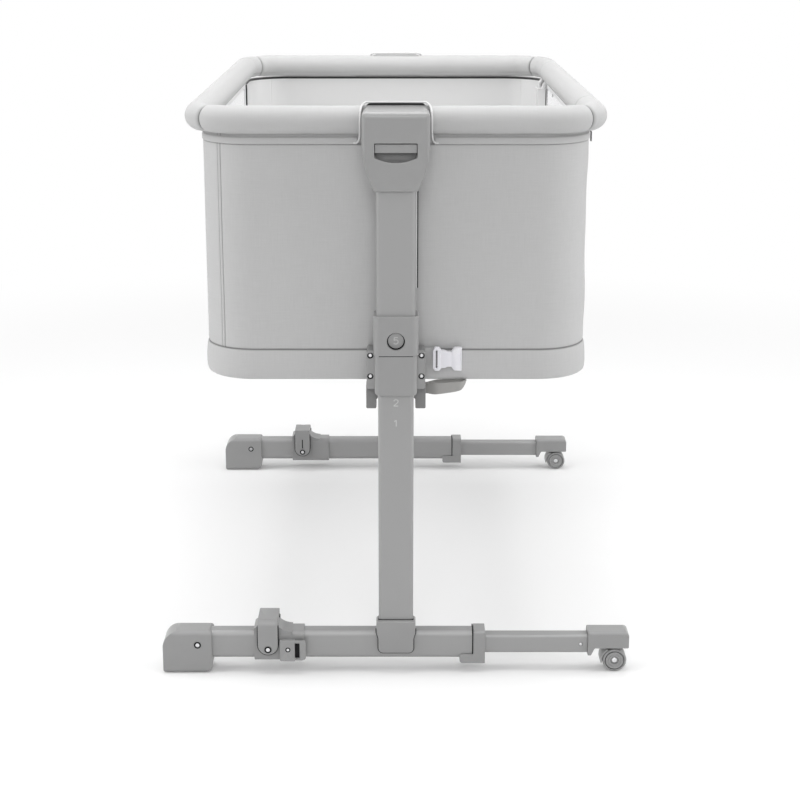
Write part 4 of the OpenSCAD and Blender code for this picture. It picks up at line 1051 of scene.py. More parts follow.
class CRIB_OT_basket_cloth(bpy.types.Operator):
    """Makes the cloth walls with their lining, binding, hem band and floor"""

    bl_idname = "crib.basket_cloth"
    bl_label = "Basket Cloth"

    def execute(self, context):
        foot = ((-1.4, -4), (-1.4, 0.8), (-0.9, 1.8), (-0.3, 3.2))
        head = ((-0.2, -10.4), (-0.5, -9.4), (0, -5), (-0.2, -2), (-1.0, 0), (-1.5, 2))
        wall_profile = [(off, HEM_TOP + z) for off, z in foot]
        wall_profile += [(0, z) for z in np.linspace(HEM_TOP + 6, CLOTH_TOP - 11.5, 44)]
        wall_profile += [(off, CLOTH_TOP + z) for off, z in head] + [(-1.6, PAD_LOW + 0.2)]
        wall_rows = with_marks(-WALL_S, WALL_S, 7.0, [row - CORNER_SEAM for row in SEAM_ROWS])
        lining_mark = WALL_A + CLOTH_R * math.radians(28)
        lining_rows = with_marks(-WALL_S, WALL_S, 9.0, [-lining_mark, lining_mark])

        def lining_bulge(s, z):
            fade = smoothstep(500, 560, z) * (1 - smoothstep(740, 775, z))
            seam = sum(np.exp(-(((s - m) / 1.0) ** 2)) for m in (-lining_mark, lining_mark))
            return 0.25 * fade * (ripple(s / 50, z / 70, 7.0) - 1) + 0.5 * seam

        for end_name, end in ENDS.items():
            wall = ring_wall(f"wall_{end_name}", wall_rows, wall_profile, end, wall_bulge(end), wall_seam_shade)
            thickened(wall, 0.8, -1.0)
            smoothed(wall, 55)
            dressed(wall, made_of("wall_cloth"), "basket", [f"shell_{end_name}"])
            inner = [(-2.6, z) for z in np.linspace(HEM_LOW + 4, CLOTH_TOP + 5.5, 40)]
            lining = ring_wall(f"lining_{end_name}", lining_rows, inner, end, lining_bulge)
            thickened(lining, 0.7, 0.6)
            smoothed(lining, 55)
            dressed(lining, made_of("lining_cloth"), "basket")
            self.binding(end_name, end, wall_rows)
            self.side_edges(end_name, end)
            fold = ((-3.1, 1.6), (-3.8, 2.2), (-3.8, 4.6), (-3.1, 5.2))
            section = [(off, CLOTH_TOP + z) for off, z in fold]
            trim_rows = with_marks(-WALL_S, WALL_S, 6.0, [])
            trim = ring_wall(f"lining_trim_{end_name}", trim_rows, section, end)
            thickened(trim, 0.5)
            smoothed(trim)
            dressed(trim, made_of("zip_tape"), "basket")
        self.hem()
        self.floor_cloth()
        return {"FINISHED"}

    def binding(self, end_name, end, rows):
        """The folded tape along the wall's top, and the piping that climbs over the hub."""
        edge = HUB_HALF + 7.0
        half = rows[rows > edge - 1.0]
        half = np.concatenate([[edge], half[half > edge + 0.5]])
        fold = (
            (0.1, -8.6), (1.1, -8.4), (1.5, -7.4), (1.35, -6.0),
            (1.5, -3.5), (1.3, -1.2), (0.6, 0.1), (-0.8, 0.4),
        )
        section = [(off, CLOTH_TOP + z) for off, z in fold]

        def uneven(s, z):
            return 0.10 * ripple(s / 9, z / 4, 8.0) + 0.05

        halves = [ring_wall("tape", np.sort(half * side), section, end, uneven) for side in (-1, 1)]
        tape = joined(f"binding_{end_name}", halves)
        thickened(tape, 0.7, -1.0)
        smoothed(tape, 60)
        dressed(tape, made_of("pad_cloth"), "basket")
        # The piping's right half at the near end, from the wall up and over the pad.
        right = [
            (HUB_HALF + 12.0, -CLOTH_Y - 1.6, CLOTH_TOP - 7.4),
            (HUB_HALF + 6.5, -CLOTH_Y - 3.2, CLOTH_TOP - 6.2),
            (HUB_HALF + 3.4, -CLOTH_Y - 11.0, CLOTH_TOP + 1.5),
            (HUB_HALF + 2.7, -CLOTH_Y - 19.5, RAIL_Z - 12.0),
            (HUB_HALF + 2.5, -CLOTH_Y - 22.8, RAIL_Z - 1.0),
            (HUB_HALF + 2.1, -CLOTH_Y - 19.0, RAIL_Z + 11.0),
            (HUB_HALF + 0.4, -CLOTH_Y - 9.0, RAIL_Z + 19.0),
            (HUB_HALF - 4.5, -CLOTH_Y + 1.2, RAIL_Z + 22.4),
            (HUB_HALF - 12.0, -CLOTH_Y + 2.0, RAIL_Z + 23.2),
        ]
        path = right + [(-x, y, z) for x, y, z in right[::-1]]
        path = [(x, y * -end, z) for x, y, z in path]
        cord = smoothed(round_tube(f"hub_piping_{end_name}", curve_through(path), 1.4))
        dressed(cord, made_of("piping_cloth"), "basket")
        self.hub_shadow_flap(end_name, end)

    def hub_shadow_flap(self, end_name, end):
        """Painted shadow: a black flap behind the hub, between the pad and the piping over it."""
        wide = np.linspace(-HUB_HALF + 1.5, HUB_HALF - 1.5, 25)
        rows = np.linspace(0, 1, 9)
        x, t = np.meshgrid(wide, rows, indexing="ij")
        top = RAIL_Z + 22.4 - 5.5 * smoothstep(HUB_HALF - 12, HUB_HALF - 1.5, abs(x))
        z = (RAIL_Z + 2) * (1 - t) + top * t
        y = -CLOTH_Y + 3.6 - 1.6 * t + 0.2 * ripple(x / 12, t * 3, 9.0)
        points = np.stack([x, y * -end, z], -1)
        uv = np.stack([x, z], -1)
        flap = grid_mesh(f"hub_flap_{end_name}", points, uv)
        if end > 0:
            flap.data.flip_normals()
        inside = twin_of(flap, f"hub_flap_lining_{end_name}")
        inside.data.transform(Matrix.Translation((0, 1.3 * MM * -end, 0)))
        # The flap's black cloth is painted shadow; its lining takes the pad cloth.
        for leaf, finish, slot in ((flap, "zip_tape", "zip"), (inside, "pad_cloth", "cloth_pad")):
            thickened(leaf, 1.2)
            dressed(smoothed(leaf), made_of(finish), "basket")

    def side_edges(self, end_name, end):
        """The black bound edges of the walls, where the zips close on the net."""
        parts = []
        for side in (-1, 1):
            z = np.linspace(HEM_TOP, CLOTH_TOP + 2, 30)
            a = np.linspace(-0.5 * math.pi, 1.5 * math.pi, 15)[:-1]
            zz, aa = np.meshgrid(z, a, indexing="ij")
            x = CLOTH_X - 1.9 + 2.9 * np.cos(aa)
            y = DROP_Y + 1.2 + 1.2 * np.sin(aa) + 0.08 * ripple(zz / 25, aa, 4.0)
            points = np.stack([x * side, y * end, zz], -1)
            uv = np.stack(np.meshgrid(z, np.linspace(0, 9, 15), indexing="ij"), -1)
            parts.append(grid_mesh("edge", points, uv, closed=True))
        bound = holes_closed(joined(f"edge_binding_{end_name}", parts))
        smoothed(faces_out(bound), 60)
        dressed(bound, made_of("zip_tape"), "basket")

    def hem(self):
        """The hem band round the bottom, with shade painted along the seam at its top."""
        quarter = quarter_of(CLOTH_X, CLOTH_Y, CLOTH_R)
        along = np.arange(0, 4 * quarter - 3, 6.0)
        centre, out = loop_at(along, CLOTH_X, CLOTH_Y, CLOTH_R)
        fold = (
            (-0.9, 1.2), (0.5, 0.4), (1.5, -1.0), (2.3, -4.0), (3.1, -10.0), (3.7, -20.0),
            (3.8, -30.0), (3.4, -37.0), (2.3, -41.2), (0.4, -42.8), (-3.0, -43.2), (-8.0, -43.2),
        )
        section = np.array([(off, HEM_TOP + z) for off, z in fold])
        s, off = np.meshgrid(along, section[:, 0], indexing="ij")
        z = np.broadcast_to(section[:, 1], s.shape)
        # The band lies smooth behind the brackets and waves a little elsewhere.
        x, y = centre[:, None, 0], centre[:, None, 1]
        clear = smoothstep(44, 90, abs(x)) + (abs(y) < 400)
        rise = np.clip(off / 3.8, 0, 1)
        off = off + 0.35 * rise * np.clip(clear, 0, 1) * ripple(s / 26, z / 20, 6.0)
        points = np.swapaxes(ring_points(centre, out, off, z), 0, 1)
        uv = np.stack(np.meshgrid(run_of(section), np.append(along, 4 * quarter), indexing="ij")[::-1], -1)
        # Painted shade: the seam mask darkens the hem's top fold.
        folded = smoothstep(HEM_TOP - 0.6, HEM_TOP + 0.8, section[:, 1])[:, None]
        folded = np.broadcast_to(folded, points.shape[:2])
        hem = grid_mesh("hem_cloth", points, uv, closed=True, seam=folded)
        hem.data.flip_normals()
        thickened(hem, 0.8, -1.0)
        smoothed(hem, 60)
        dressed(hem, made_of("wall_cloth"), "basket", ["hem_band"])

    def floor_cloth(self):
        """The cloth floor under the bottom frame, drawn tight across the hem."""
        quarter = quarter_of(CLOTH_X, CLOTH_Y, CLOTH_R)
        along = np.arange(0, 4 * quarter - 5, 10.0)
        centre, out = loop_at(along, CLOTH_X, CLOTH_Y, CLOTH_R)
        rim = centre - out * 5.0
        shares = np.array([1, 0.985, 0.96, 0.92, 0.86, 0.78, 0.68, 0.56, 0.43, 0.29, 0.15, 0.04])
        points = np.empty((len(shares), len(along), 3))
        points[..., :2] = rim[None] * shares[:, None, None]
        sag = 0.5 * ripple(points[..., 0] / 40, points[..., 1] / 60, 2.0) * (1 - shares[:, None] ** 8)
        points[..., 2] = HEM_LOW + 1.2 + 0.5 * sag
        uv = points[..., :2]
        uv = np.concatenate([uv, uv[:, :1]], axis=1)
        floor = grid_mesh("floor_cloth", points, uv, closed=True)
        select_only(floor)
        bpy.ops.object.mode_set(mode="EDIT")
        bpy.ops.mesh.select_all(action="DESELECT")
        bm = bmesh.from_edit_mesh(floor.data)
        for edge in bm.edges:
            if edge.is_boundary and all(v.co.xy.length < 0.05 for v in edge.verts):
                edge.select_set(True)
        bm.select_flush_mode()
        bpy.ops.mesh.edge_face_add()
        bpy.ops.object.mode_set(mode="OBJECT")
        faces_out(floor)
        thickened(floor, 0.9)
        smoothed(floor)
        dressed(floor, made_of("lining_cloth"), "basket")


def side_net(name, side):
    """One long side's net, slightly drawn in between its tapes."""
    top = PAD_LOW + 0.5
    y = np.linspace(-DROP_Y + 1.2, DROP_Y - 1.2, 73)
    z = np.linspace(HEM_TOP - 2, top, 40)
    yy, zz = np.meshgrid(y, z, indexing="ij")
    slack = np.sin((zz - HEM_TOP) / (top - HEM_TOP) * math.pi) * np.cos(yy / DROP_Y * math.pi / 2)
    x = CLOTH_X - 1.5 - 0.35 * slack + 0.25 * slack * ripple(yy / 70, zz / 60, 11.0 + side)
    points = np.stack([x * side, yy, zz], -1)
    obj = grid_mesh(name, points, np.stack([yy, zz], -1))
    if side < 0:
        obj.data.flip_normals()
    return obj


class CRIB_OT_side_nets(bpy.types.Operator):
    """Makes the see-through long sides with their tapes and zips"""

    bl_idname = "crib.side_nets"
    bl_label = "Side Nets"

    def execute(self, context):
        for name, node, side in (("net_left", "side_panel_left", -1), ("net_right", "drop_side_panel", 1)):
            net = smoothed(side_net(name, side))
            dressed(net, made_of("net_white"), "basket", [node])
            tapes = self.tapes(name, side)
            if side > 0:
                for piece in (net, tapes):
                    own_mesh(piece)
        self.zips()
        return {"FINISHED"}

    def tapes(self, name, side):
        """The woven tapes that edge the net on its four sides."""
        parts = []
        top = PAD_LOW + 0.3
        x0, x1 = CLOTH_X - 2.15, CLOTH_X - 0.95
        for low, high in (
            ((x0, -DROP_Y + 1.1, HEM_TOP - 1), (x1, DROP_Y - 1.1, HEM_TOP + 9)),
            ((x0, -DROP_Y + 1.1, top - 9), (x1, DROP_Y - 1.1, top)),
            ((x0, -DROP_Y + 1.1, HEM_TOP + 8), (x1, -DROP_Y + 7.1, top - 8)),
            ((x0, DROP_Y - 7.1, HEM_TOP + 8), (x1, DROP_Y - 1.1, top - 8)),
        ):
            low, high = np.array([low, high]) * (side, 1, 1)
            parts.append(block("tape", low, high, bevel=0.5))
        tape = smoothed(box_mapped(joined(f"{name}_tapes", parts)))
        return dressed(tape, made_of("net_tape"), "basket")

    def zips(self):
        """Zip tapes with teeth and pulls, two on each long side."""
        tapes, teeth = [], []
        levels = np.arange(HEM_TOP + 3, CLOTH_TOP - 3, sizes_of().zip_pitch / MM)
        y0, y1 = DROP_Y + 0.3, DROP_Y + 8.3
        x0, x1 = CLOTH_X - 4.0, CLOTH_X - 3.1
        for side in (-1, 1):
            for end in (-1, 1):
                corners = (x0 * side, y0 * end, HEM_TOP), (x1 * side, y1 * end, CLOTH_TOP)
                tapes.append(block("tape", *corners, bevel=0.3, segments=1))
                for n, z in enumerate(levels):
                    shift = 0.7 if n % 2 else -0.7
                    at = (y0 + 2.2 + shift) * end
                    low = (side * (x0 - 0.9), at - 1.2, z - 0.75)
                    high = (side * (x0 + 0.3), at + 1.2, z + 0.75)
                    teeth.append(np.sort([low, high], axis=0))
        tape = smoothed(box_mapped(joined("zip_tape", tapes)))
        dressed(tape, made_of("zip_tape"), "basket", ["zip_tapes"])
        # The teeth are many, so they are plain boxes in one mesh.
        sides = ((0, 1, 3, 2), (4, 6, 7, 5), (0, 4, 5, 1), (2, 3, 7, 6), (0, 2, 6, 4), (1, 5, 7, 3))
        points, faces = [], []
        for low, high in teeth:
            base = len(points)
            points += list(itertools.product(*zip(low, high)))
            faces += [tuple(base + k for k in side) for side in sides]
        chain = faces_out(new_mesh("zip_chain", points, faces))
        dressed(chain, made_of("zip_teeth"), "basket")
        pulls = []
        for end in (-1, 1):
            y = (DROP_Y + 7.5) * end
            top = CLOTH_TOP - 6.5
            link = [(CLOTH_X + x, y, top + z) for x, z in ((0.5, 2.5), (5.0, 3.4), (10.4, -1.0))]
            pulls.append(round_tube("link", curve_through(link), 0.8, sides=8))
            tab_low, tab_high = (CLOTH_X + 9.6, y - 3.5, top - 14.5), (CLOTH_X + 11.4, y + 3.5, top)
            pulls.append(block("tab", tab_low, tab_high, bevel=0.7))
        dressed(smoothed(joined("zip_pulls", pulls)), made_of("zip_teeth"), "basket")


# How far below the mattress's top its piping runs.
PIPING_DROP = 16


class CRIB_OT_mattress(bpy.types.Operator):
    """Makes the quilted mattress, blown up softly between its sewn lines"""

    bl_idname = "crib.mattress"
    bl_label = "Mattress"

    def execute(self, context):
        low, high = box_mm("mattress")
        radius = 48.0
        quilt = self.core(low, high, radius)
        points = self.places(quilt)
        centre, half = (low + high) / 2, (high - low) / 2
        aside, along = points[:, 0] - centre[0], points[:, 1] - centre[1]

        # The cover is held at its underside, along the sewn diamonds and along its piping.
        cell = sizes_of().quilt_cell / MM
        u, v = aside / cell, along / cell
        lines = np.minimum(abs(u + v - np.round(u + v)), abs(u - v - np.round(u - v))) * cell * 0.707
        top = points[:, 2] > high[2] - 14
        sewn = (lines < 4.0) & top & (abs(aside) < half[0] - 20) & (abs(along) < half[1] - 20)
        bottom = points[:, 2] < low[2] + 6
        border = abs(points[:, 2] - (high[2] - PIPING_DROP)) < 3.5
        pins = np.where(bottom | sewn | border)[0]
        group = quilt.vertex_groups.new(name="sewn")
        group.add([int(i) for i in pins], 1.0, "REPLACE")
        self.inflate(quilt, points)

        # The top is crowned a little.
        points = self.places(quilt)
        reach = np.hypot((points[:, 0] - centre[0]) / half[0], (points[:, 1] - centre[1]) / half[1])
        points[:, 2] += np.where(top, 2.5 * (1 - np.clip(reach, 0, 1) ** 2), 0)
        points[:, 2] = np.minimum(points[:, 2], high[2] + 3)
        self.place(quilt, points)
        modified(quilt, "SUBSURF", levels=1, render_levels=1)
        quilt.name = quilt.data.name = "mattress_quilt"
        box_mapped(quilt)
        bpy.ops.object.shade_smooth()
        finish = made_of("quilt_cloth")
        dressed(quilt, finish, "basket", ["mattress"])
        self.piping(low, high, radius)
        return {"FINISHED"}

    def places(self, obj):
        """An object's vertices in millimetres."""
        return np.array([v.co for v in obj.data.vertices]) / MM

    def place(self, obj, points):
        """Puts an object's vertices at these places in millimetres."""
        obj.data.vertices.foreach_set("co", (points * MM).ravel())
        obj.data.update()

    def core(self, low, high, radius):
        """The plain cushion: a box with its upright edges and then its rims rounded, in an even fine mesh."""
        core = block("mattress_core", low + (2.5, 2.5, 0.5), high - (2.5, 2.5, 9.0))
        select_only(core)
        bpy.ops.object.mode_set(mode="EDIT")

        def upright(edge):
            return abs(edge.verts[0].co.z - edge.verts[1].co.z) > 0.01

        def rim(edge):
            level = [abs(face.normal.z) > 0.5 for face in edge.link_faces]
            return level[0] != level[1]

        for picked, width, segments in ((upright, radius, 10), (rim, 9, 4)):
            bpy.ops.mesh.select_all(action="DESELECT")
            bm = bmesh.from_edit_mesh(core.data)
            for edge in bm.edges:
                edge.select_set(picked(edge))
            bpy.ops.mesh.bevel(offset=width * MM, segments=segments)
        bpy.ops.object.mode_set(mode="OBJECT")
        return modified(core, "REMESH", mode="VOXEL", voxel_size=0.0065, use_smooth_shade=True)

    def inflate(self, obj, rest):
        """Blows the cover up between its pinned seams, and caps how far it goes."""
        select_only(obj)
        cloth_mod = obj.modifiers.new("Cloth", "CLOTH")
        settings = cloth_mod.settings
        settings.use_pressure = True
        settings.uniform_pressure_force = 5.0
        settings.quality = 4
        settings.mass = 0.3
        settings.tension_stiffness = 12
        settings.vertex_group_mass = "sewn"
        settings.effector_weights.gravity = 0
        cloth_mod.collision_settings.use_collision = False
        frames = sizes_of().sim_frames
        cloth_mod.point_cache.frame_start = 1
        cloth_mod.point_cache.frame_end = frames
        for number in range(1, frames + 1):
            bpy.context.scene.frame_set(number)
        bpy.ops.object.modifier_apply(modifier=cloth_mod.name)
        bpy.context.scene.frame_set(1)
        cap = 4.0
        move = self.places(obj) - rest
        size = np.linalg.norm(move, axis=1)[:, None]
        self.place(obj, rest + move * np.minimum(1, cap / np.maximum(size, 1e-6)))

    def piping(self, low, high, radius):
        """The cord sewn round the mattress below its top edge."""
        centre = (low + high) / 2
        half = (high - low) / 2 - 1.6
        quarter = quarter_of(half[0], half[1], radius)
        along = np.arange(0, 4 * quarter - 3, 6.0)
        path, _ = loop_at(along, half[0], half[1], radius)
        path = np.column_stack([path + centre[:2], np.full(len(path), high[2] - PIPING_DROP)])
        path = np.vstack([path, path[:2]])
        cord = smoothed(round_tube("mattress_piping", path, 1.6, sides=8))
        dressed(cord, made_of("lining_cloth"), "basket")


# Each moulded or coated part's body and slot, and how many edge widths its edges are rounded by.
SOFTENED = {
    "hub": ("basket", "plastic", 1.3),
    "collar": ("basket", "plastic", 1.0),
    "clamp_cover": ("basket", "plastic", 0.35),
    "rear_bracket": ("basket", "plastic", 1.0),
    "release_lever": ("release", "plastic", 1.0),
    "column_socket": ("leg", "plastic", 1.0),
    "foot_cap": ("leg", "plastic", 1.0),
    "foot_collar": ("leg", "plastic", 1.0),
    "lock_bracket": ("leg", "plastic", 0.6),
    "wheel_cap": ("slider", "plastic", 1.4),
    "pedal": ("pedal", "plastic", 1.0),
    "caster_yoke": ("caster", "plastic", 0.6),
    "upper_tube": ("basket", "coated_tube", 0.6),
    "column": ("leg", "coated_tube", 0.6),
    "foot_tube": ("leg", "coated_tube", 0.6),
    "inner_tube": ("slider", "coated_tube", 0.6),
}


# How deep the lock bracket's strap slot is behind its front.
SLOT_DEPTH = 3.5
# The level of the column socket's top, and how far it drops for each millimetre towards the crib's middle.
SOCKET_TOP = FOOT_TOP + 20.0
SOCKET_SLOPE = 0.24
# The radius of the dish for the toe in the pedal's top.
DISH_R = 22.0
# The levels of the collar's window, of the pedal's pivot and of the groove in its cheek, which is a black
# strip of painted shadow.
WINDOW_Z = 502.0
PIVOT_Z = 40
GROOVE_Z = (48.0, 66.0)
# How far the black band of painted shadow, before the foot collar, stands out from the foot tube.
SHADOW_BAND_PROUD = 0.4


def softened(node, name, width, reshape=None):
    """A copy of a CAD node with its sharp edges rounded, after an optional change to its mesh."""
    obj = twin_of(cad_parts[node], name)
    data = obj.data
    select_only(obj)
    if data.has_custom_normals:
        bpy.ops.mesh.customdata_custom_splitnormals_clear()
    edited(obj, (bpy.ops.mesh.remove_doubles, {"threshold": 2e-5}))
    if reshape:
        reshape(data)
    edited(obj, (bpy.ops.mesh.dissolve_limited, {"angle_limit": math.radians(1.0)}))
    sharp = BVHTree.FromPolygons([v.co for v in data.vertices], [p.vertices for p in data.polygons])
    modified(
        obj,
        "BEVEL",
        width=width,
        segments=2,
        limit_method="ANGLE",
        angle_limit=math.radians(38),
        use_clamp_overlap=False,
        miter_outer="MITER_ARC",
    )
    # A bevel that runs past a short edge is put back on the surface that it left.
    for vertex in data.vertices:
        place, _, _, off = sharp.find_nearest(vertex.co)
        if off > width / 2:
            vertex.co = place
    smoothed(obj, 32)
    modified(obj, "WEIGHTED_NORMAL", keep_sharp=True, weight=60)
    return obj


def sloped(vertices, outer):
    """Lowers vertices as the column socket's top slopes, from its outer side at this distance inwards."""
    for vertex in vertices:
        vertex.co.z -= SOCKET_SLOPE * (outer - abs(vertex.co.y) / MM) * MM


class CRIB_OT_moulded_parts(bpy.types.Operator):
    """Rounds the edges of the moulded and coated parts and gives them their finish"""

    bl_idname = "crib.moulded_parts"
    bl_label = "Moulded Parts"

    def execute(self, context):
        width = sizes_of().edge_round
        reshapes = {"pedal": self.level_dish, "column_socket": self.slope_top}
        for stem, (body, slot, share) in SOFTENED.items():
            finish = "grey_moulding" if slot == "plastic" else "coated_tube"
            # The rear brackets take the darker plastic: painted shade.
            if stem == "rear_bracket":
                finish = "shaded_grey_moulding"
            for end_name, end in ENDS.items():
                node = f"{stem}_{end_name}"
                rides = body if body == "basket" else f"{body}_{end_name}"
                obj = softened(node, f"{node}_finished", width * share, reshapes.get(stem))
                if stem == "column_socket":
                    obj = joined(f"{node}_finished", [obj, self.socket_face(end)])
                if stem == "pedal":
                    self.toe_dish(obj, end)
                dressed(obj, made_of(finish), rides, [node])
        shoes = softened("drop_rail_shoes", "drop_rail_shoes_finished", width * 0.6)
        dressed(shoes, made_of("white_moulding"), "drop_side", ["drop_rail_shoes"])
        self.cover_strips()
        for node in ("top_frame", "bottom_frame", "drop_rail_tube"):
            repaint(node, made_of("coated_tube"))
        repaint("guide_posts", made_of("white_moulding"))
        repaint("base_board", made_of("hardboard"))
        for end_name, end in ENDS.items():
            self.finger_well(end_name, end)
            self.window_shadow_ring(end_name, end)
            self.slot_shadow(end_name, end)
            self.shadow_pieces(end_name, end)
        return {"FINISHED"}

    def cover_strips(self):
        """The light strip behind each upper tube's right side, and beside it a black strip of painted shadow
        for its groove.
        """
        low, high = box_mm("cover_strips")
        light, dark = [], []
        for end in (-1, 1):
            near, far = (low[0], high[1] * end, low[2]), (low[0] + 5.8, (high[1] - 5.0) * end, high[2])
            light.append(block("light", near, far, bevel=0.6))
            near = (low[0] + 4.0, (high[1] - 1.2) * end, low[2])
            far = (high[0] - 0.4, (high[1] - 5.2) * end, high[2])
            dark.append(block("dark", near, far, bevel=0.3))
        strips = smoothed(joined("cover_strips_finished", light))
        dressed(strips, made_of("piping_cloth"), "basket", ["cover_strips"])
        dressed(smoothed(joined("strip_shadows", dark)), made_of("zip_tape"), "basket")

    def slot_shadow(self, end_name, end):
        """Painted shadow: a black strip at the back of the strap slot in the lock bracket."""
        low, high = box_mm("lock_bracket_near")
        face = low[1] + SLOT_DEPTH
        corner = (high[0] - 15.6, (face - 0.5) * -end, low[2] + 5.5)
        other = (high[0] - 9.4, (face + 0.5) * -end, low[2] + 33.0)
        liner = block("liner", corner, other, bevel=0.2)
        liner.name = f"slot_shadow_{end_name}"
        dressed(liner, made_of("shadow_black"), f"leg_{end_name}")

    def shadow_pieces(self, end_name, end):
        """The black pieces of painted shadow at the pedal, which move with it, and at the foot."""
        dark = made_of("shadow_black")
        shadow_rims = joined(f"pedal_rim_{end_name}", self.pedal_shadow_rims(end))
        dressed(shadow_rims, dark, f"pedal_{end_name}")
        foot_shadow_pieces = joined(f"leg_joints_{end_name}", self.foot_shadows(end))
        dressed(foot_shadow_pieces, dark, f"leg_{end_name}")

    def pedal_shadow_rims(self, end):
        """Painted shadow: black rim plates behind the pedal's cheeks, and a black strip for the groove in its
        inner cheek.
        """
        low, high = box_mm("pedal_near")
        proud, thick = 1.1, 4.8
        middle, radius = (low[0] + high[0]) / 2, (high[0] - low[0]) / 2 + proud
        cheek = [(low[0] - proud, high[2] - 9.0), (high[0] + proud, high[2] - 9.0)]
        for step in range(13):
            angle = -math.pi * step / 12
            cheek.append((middle + radius * math.cos(angle), low[2] - proud + radius * (1 + math.sin(angle))))
        shadow_rims = []
        for front in (low[1] + 1.2, high[1] - 1.2 - thick):
            shadow_rims.append(plate("rim", cheek, front * -end, (front + thick) * -end, 0.2))
        corner = (middle - 0.9, (high[1] + 0.15) * -end, GROOVE_Z[0])
        other = (middle + 0.9, (high[1] - 2.0) * -end, GROOVE_Z[1])
        return [*shadow_rims, block("groove", corner, other, bevel=0.1)]

    def foot_shadows(self, end):
        """Painted shadow: a black band before the foot collar, a sloped black band where the column sits in
        its socket, and a black rim round the socket.
        """
        low, high = box_mm("foot_tube_near")
        end_x = high[0] - 14.0
        corner = (end_x - 0.9, (low[1] - SHADOW_BAND_PROUD) * -end, low[2] - SHADOW_BAND_PROUD)
        other = (end_x + 0.6, (high[1] + SHADOW_BAND_PROUD) * -end, high[2] + SHADOW_BAND_PROUD)
        shadow_band = block("shadow_band", corner, other, bevel=0.2)
        front = box_mm("column_socket_near")[0][1] + 0.9
        rim = plate("rim", self.socket_outline(1.1), front * -end, (low[1] + 1.0) * -end, 0.2)
        low, high = box_mm("column_near")
        corner = (low[0] - 0.6, (low[1] - 0.6) * -end, SOCKET_TOP - 1.6)
        other = (high[0] + 0.6, (high[1] + 0.6) * -end, SOCKET_TOP - 0.1)
        seat_shadow = block("seat_shadow", corner, other)
        sloped(seat_shadow.data.vertices, -low[1])
        return [shadow_band, seat_shadow, rim]

    def finger_well(self, end_name, end):
        """The scooped wall of the hub's finger slot, below the lever."""
        half = -box_mm("release_lever_near")[0][0]
        front = box_mm("hub_near")[0][1] + 0.4
        top, low, corner = 763.4, 744.0, 15.0
        x, t = np.meshgrid(np.linspace(-half, half, 49), np.linspace(0, 1, 17), indexing="ij")
        edge = np.clip((abs(x) - half + corner) / corner, 0, 1)
        rim = low + 1.2 + 14.0 * (1 - np.sqrt(1 - edge**2 * 0.999)) + 1.2 * (x / half) ** 2
        share = t**1.5
        z = np.where(t == 0, low, rim + (top - rim) * share)
        deep = np.sqrt(np.clip(1 - (1 - share) ** 2, 0, 1))
        y = front + 15.5 * deep * (1 - 0.25 * (x / half) ** 2)
        points = np.stack([x, y * -end, z], -1)
        well = grid_mesh(f"finger_well_{end_name}", points, np.stack([x, z], -1))
        if end < 0:
            well.data.flip_normals()
        thickened(well, 0.8)
        # The well's darker plastic is painted shade in the recess.
        dressed(smoothed(well, 50), made_of("shaded_grey_moulding"), "basket")

    def window_shadow_ring(self, end_name, end):
        """Painted shadow: a thin black ring in the collar's window, and a black band under the collar."""
        face = box_mm("column_near")[0][1] - 0.5
        profile = [(10.9, 0), (12.45, 0), (12.45, 1.6), (12.1, 1.6), (10.9, 0)]
        ring = lathe(f"window_shadow_ring_{end_name}", profile, (0, face * -end, WINDOW_Z), (0, end, 0), steps=64)
        level = box_mm("collar_near")[0][2]
        front = box_mm("clamp_cover_near")[0][1] - 0.15
        corner, other = (-23.5, front * -end, level - 0.7), (23.5, (front + 5.0) * -end, level + 0.7)
        piece = joined(f"window_shadow_ring_{end_name}", [ring, block("shadow_band", corner, other)])
        dressed(smoothed(piece, 35), made_of("shadow_black"), "basket")

    def level_dish(self, mesh):
        """Raises the dish at the back of the pedal's top until it is flat."""
        low, high = box_mm("pedal_near")
        middle = Vector(((low[0] + high[0]) / 2, high[1], high[2] + 17.0))
        for vertex in mesh.vertices:
            x, y, z = vertex.co / MM
            if abs((Vector((x, -abs(y), z)) - middle).length - DISH_R) < 0.06:
                vertex.co.z = high[2] * MM

    def slope_top(self, mesh):
        """Slopes the column socket's top down towards the crib's middle."""
        top = [vertex for vertex in mesh.vertices if abs(vertex.co.z / MM - SOCKET_TOP) < 0.05]
        sloped(top, -box_mm("column_socket_near")[0][1])

    def socket_face(self, end):
        """The socket's smooth outer face, which narrows below the foot tube's top."""
        outline = self.socket_outline(0.0)
        top = SOCKET_TOP - 2.5
        outline = [(outline[0][0] - 0.3, top)] + outline[1:-1] + [(outline[-1][0] + 0.3, top)]
        front = box_mm("column_socket_near")[0][1] - 0.6
        back = box_mm("foot_tube_near")[0][1] - 0.2
        return smoothed(plate("face", outline, front * -end, back * -end, 1.0), 35)

    def socket_outline(self, grow):
        """The outline of the socket's outer face, grown all round, from the top right corner clockwise."""
        low, high = box_mm("column_socket_near")
        wide, slim, corner = high[0] + grow, 25.5 + grow, 7.0 + grow
        neck = ((wide, 5.0), (wide - 0.3, 0.0), (wide - 1.6, -4.0), (slim, -9.0))
        right = [(x, FOOT_TOP + z) for x, z in neck]
        foot = low[2] - grow + corner
        for step in range(7):
            angle = -math.pi / 2 * step / 6
            right.append((slim - corner + corner * math.cos(angle), foot + corner * math.sin(angle)))
        return right + [(-x, z) for x, z in reversed(right)]

    def toe_dish(self, pedal, end):
        """Scoops the front of the pedal's top, where the toe comes."""
        low, high = box_mm("pedal_near")
        place = Vector(((low[0] + high[0]) / 2, (low[1] - 1.0) * -end, high[2] + 19.5)) * MM
        bpy.ops.mesh.primitive_uv_sphere_add(segments=64, ring_count=32, radius=DISH_R * MM, location=place)
        cut(pedal, placed(bpy.context.object))


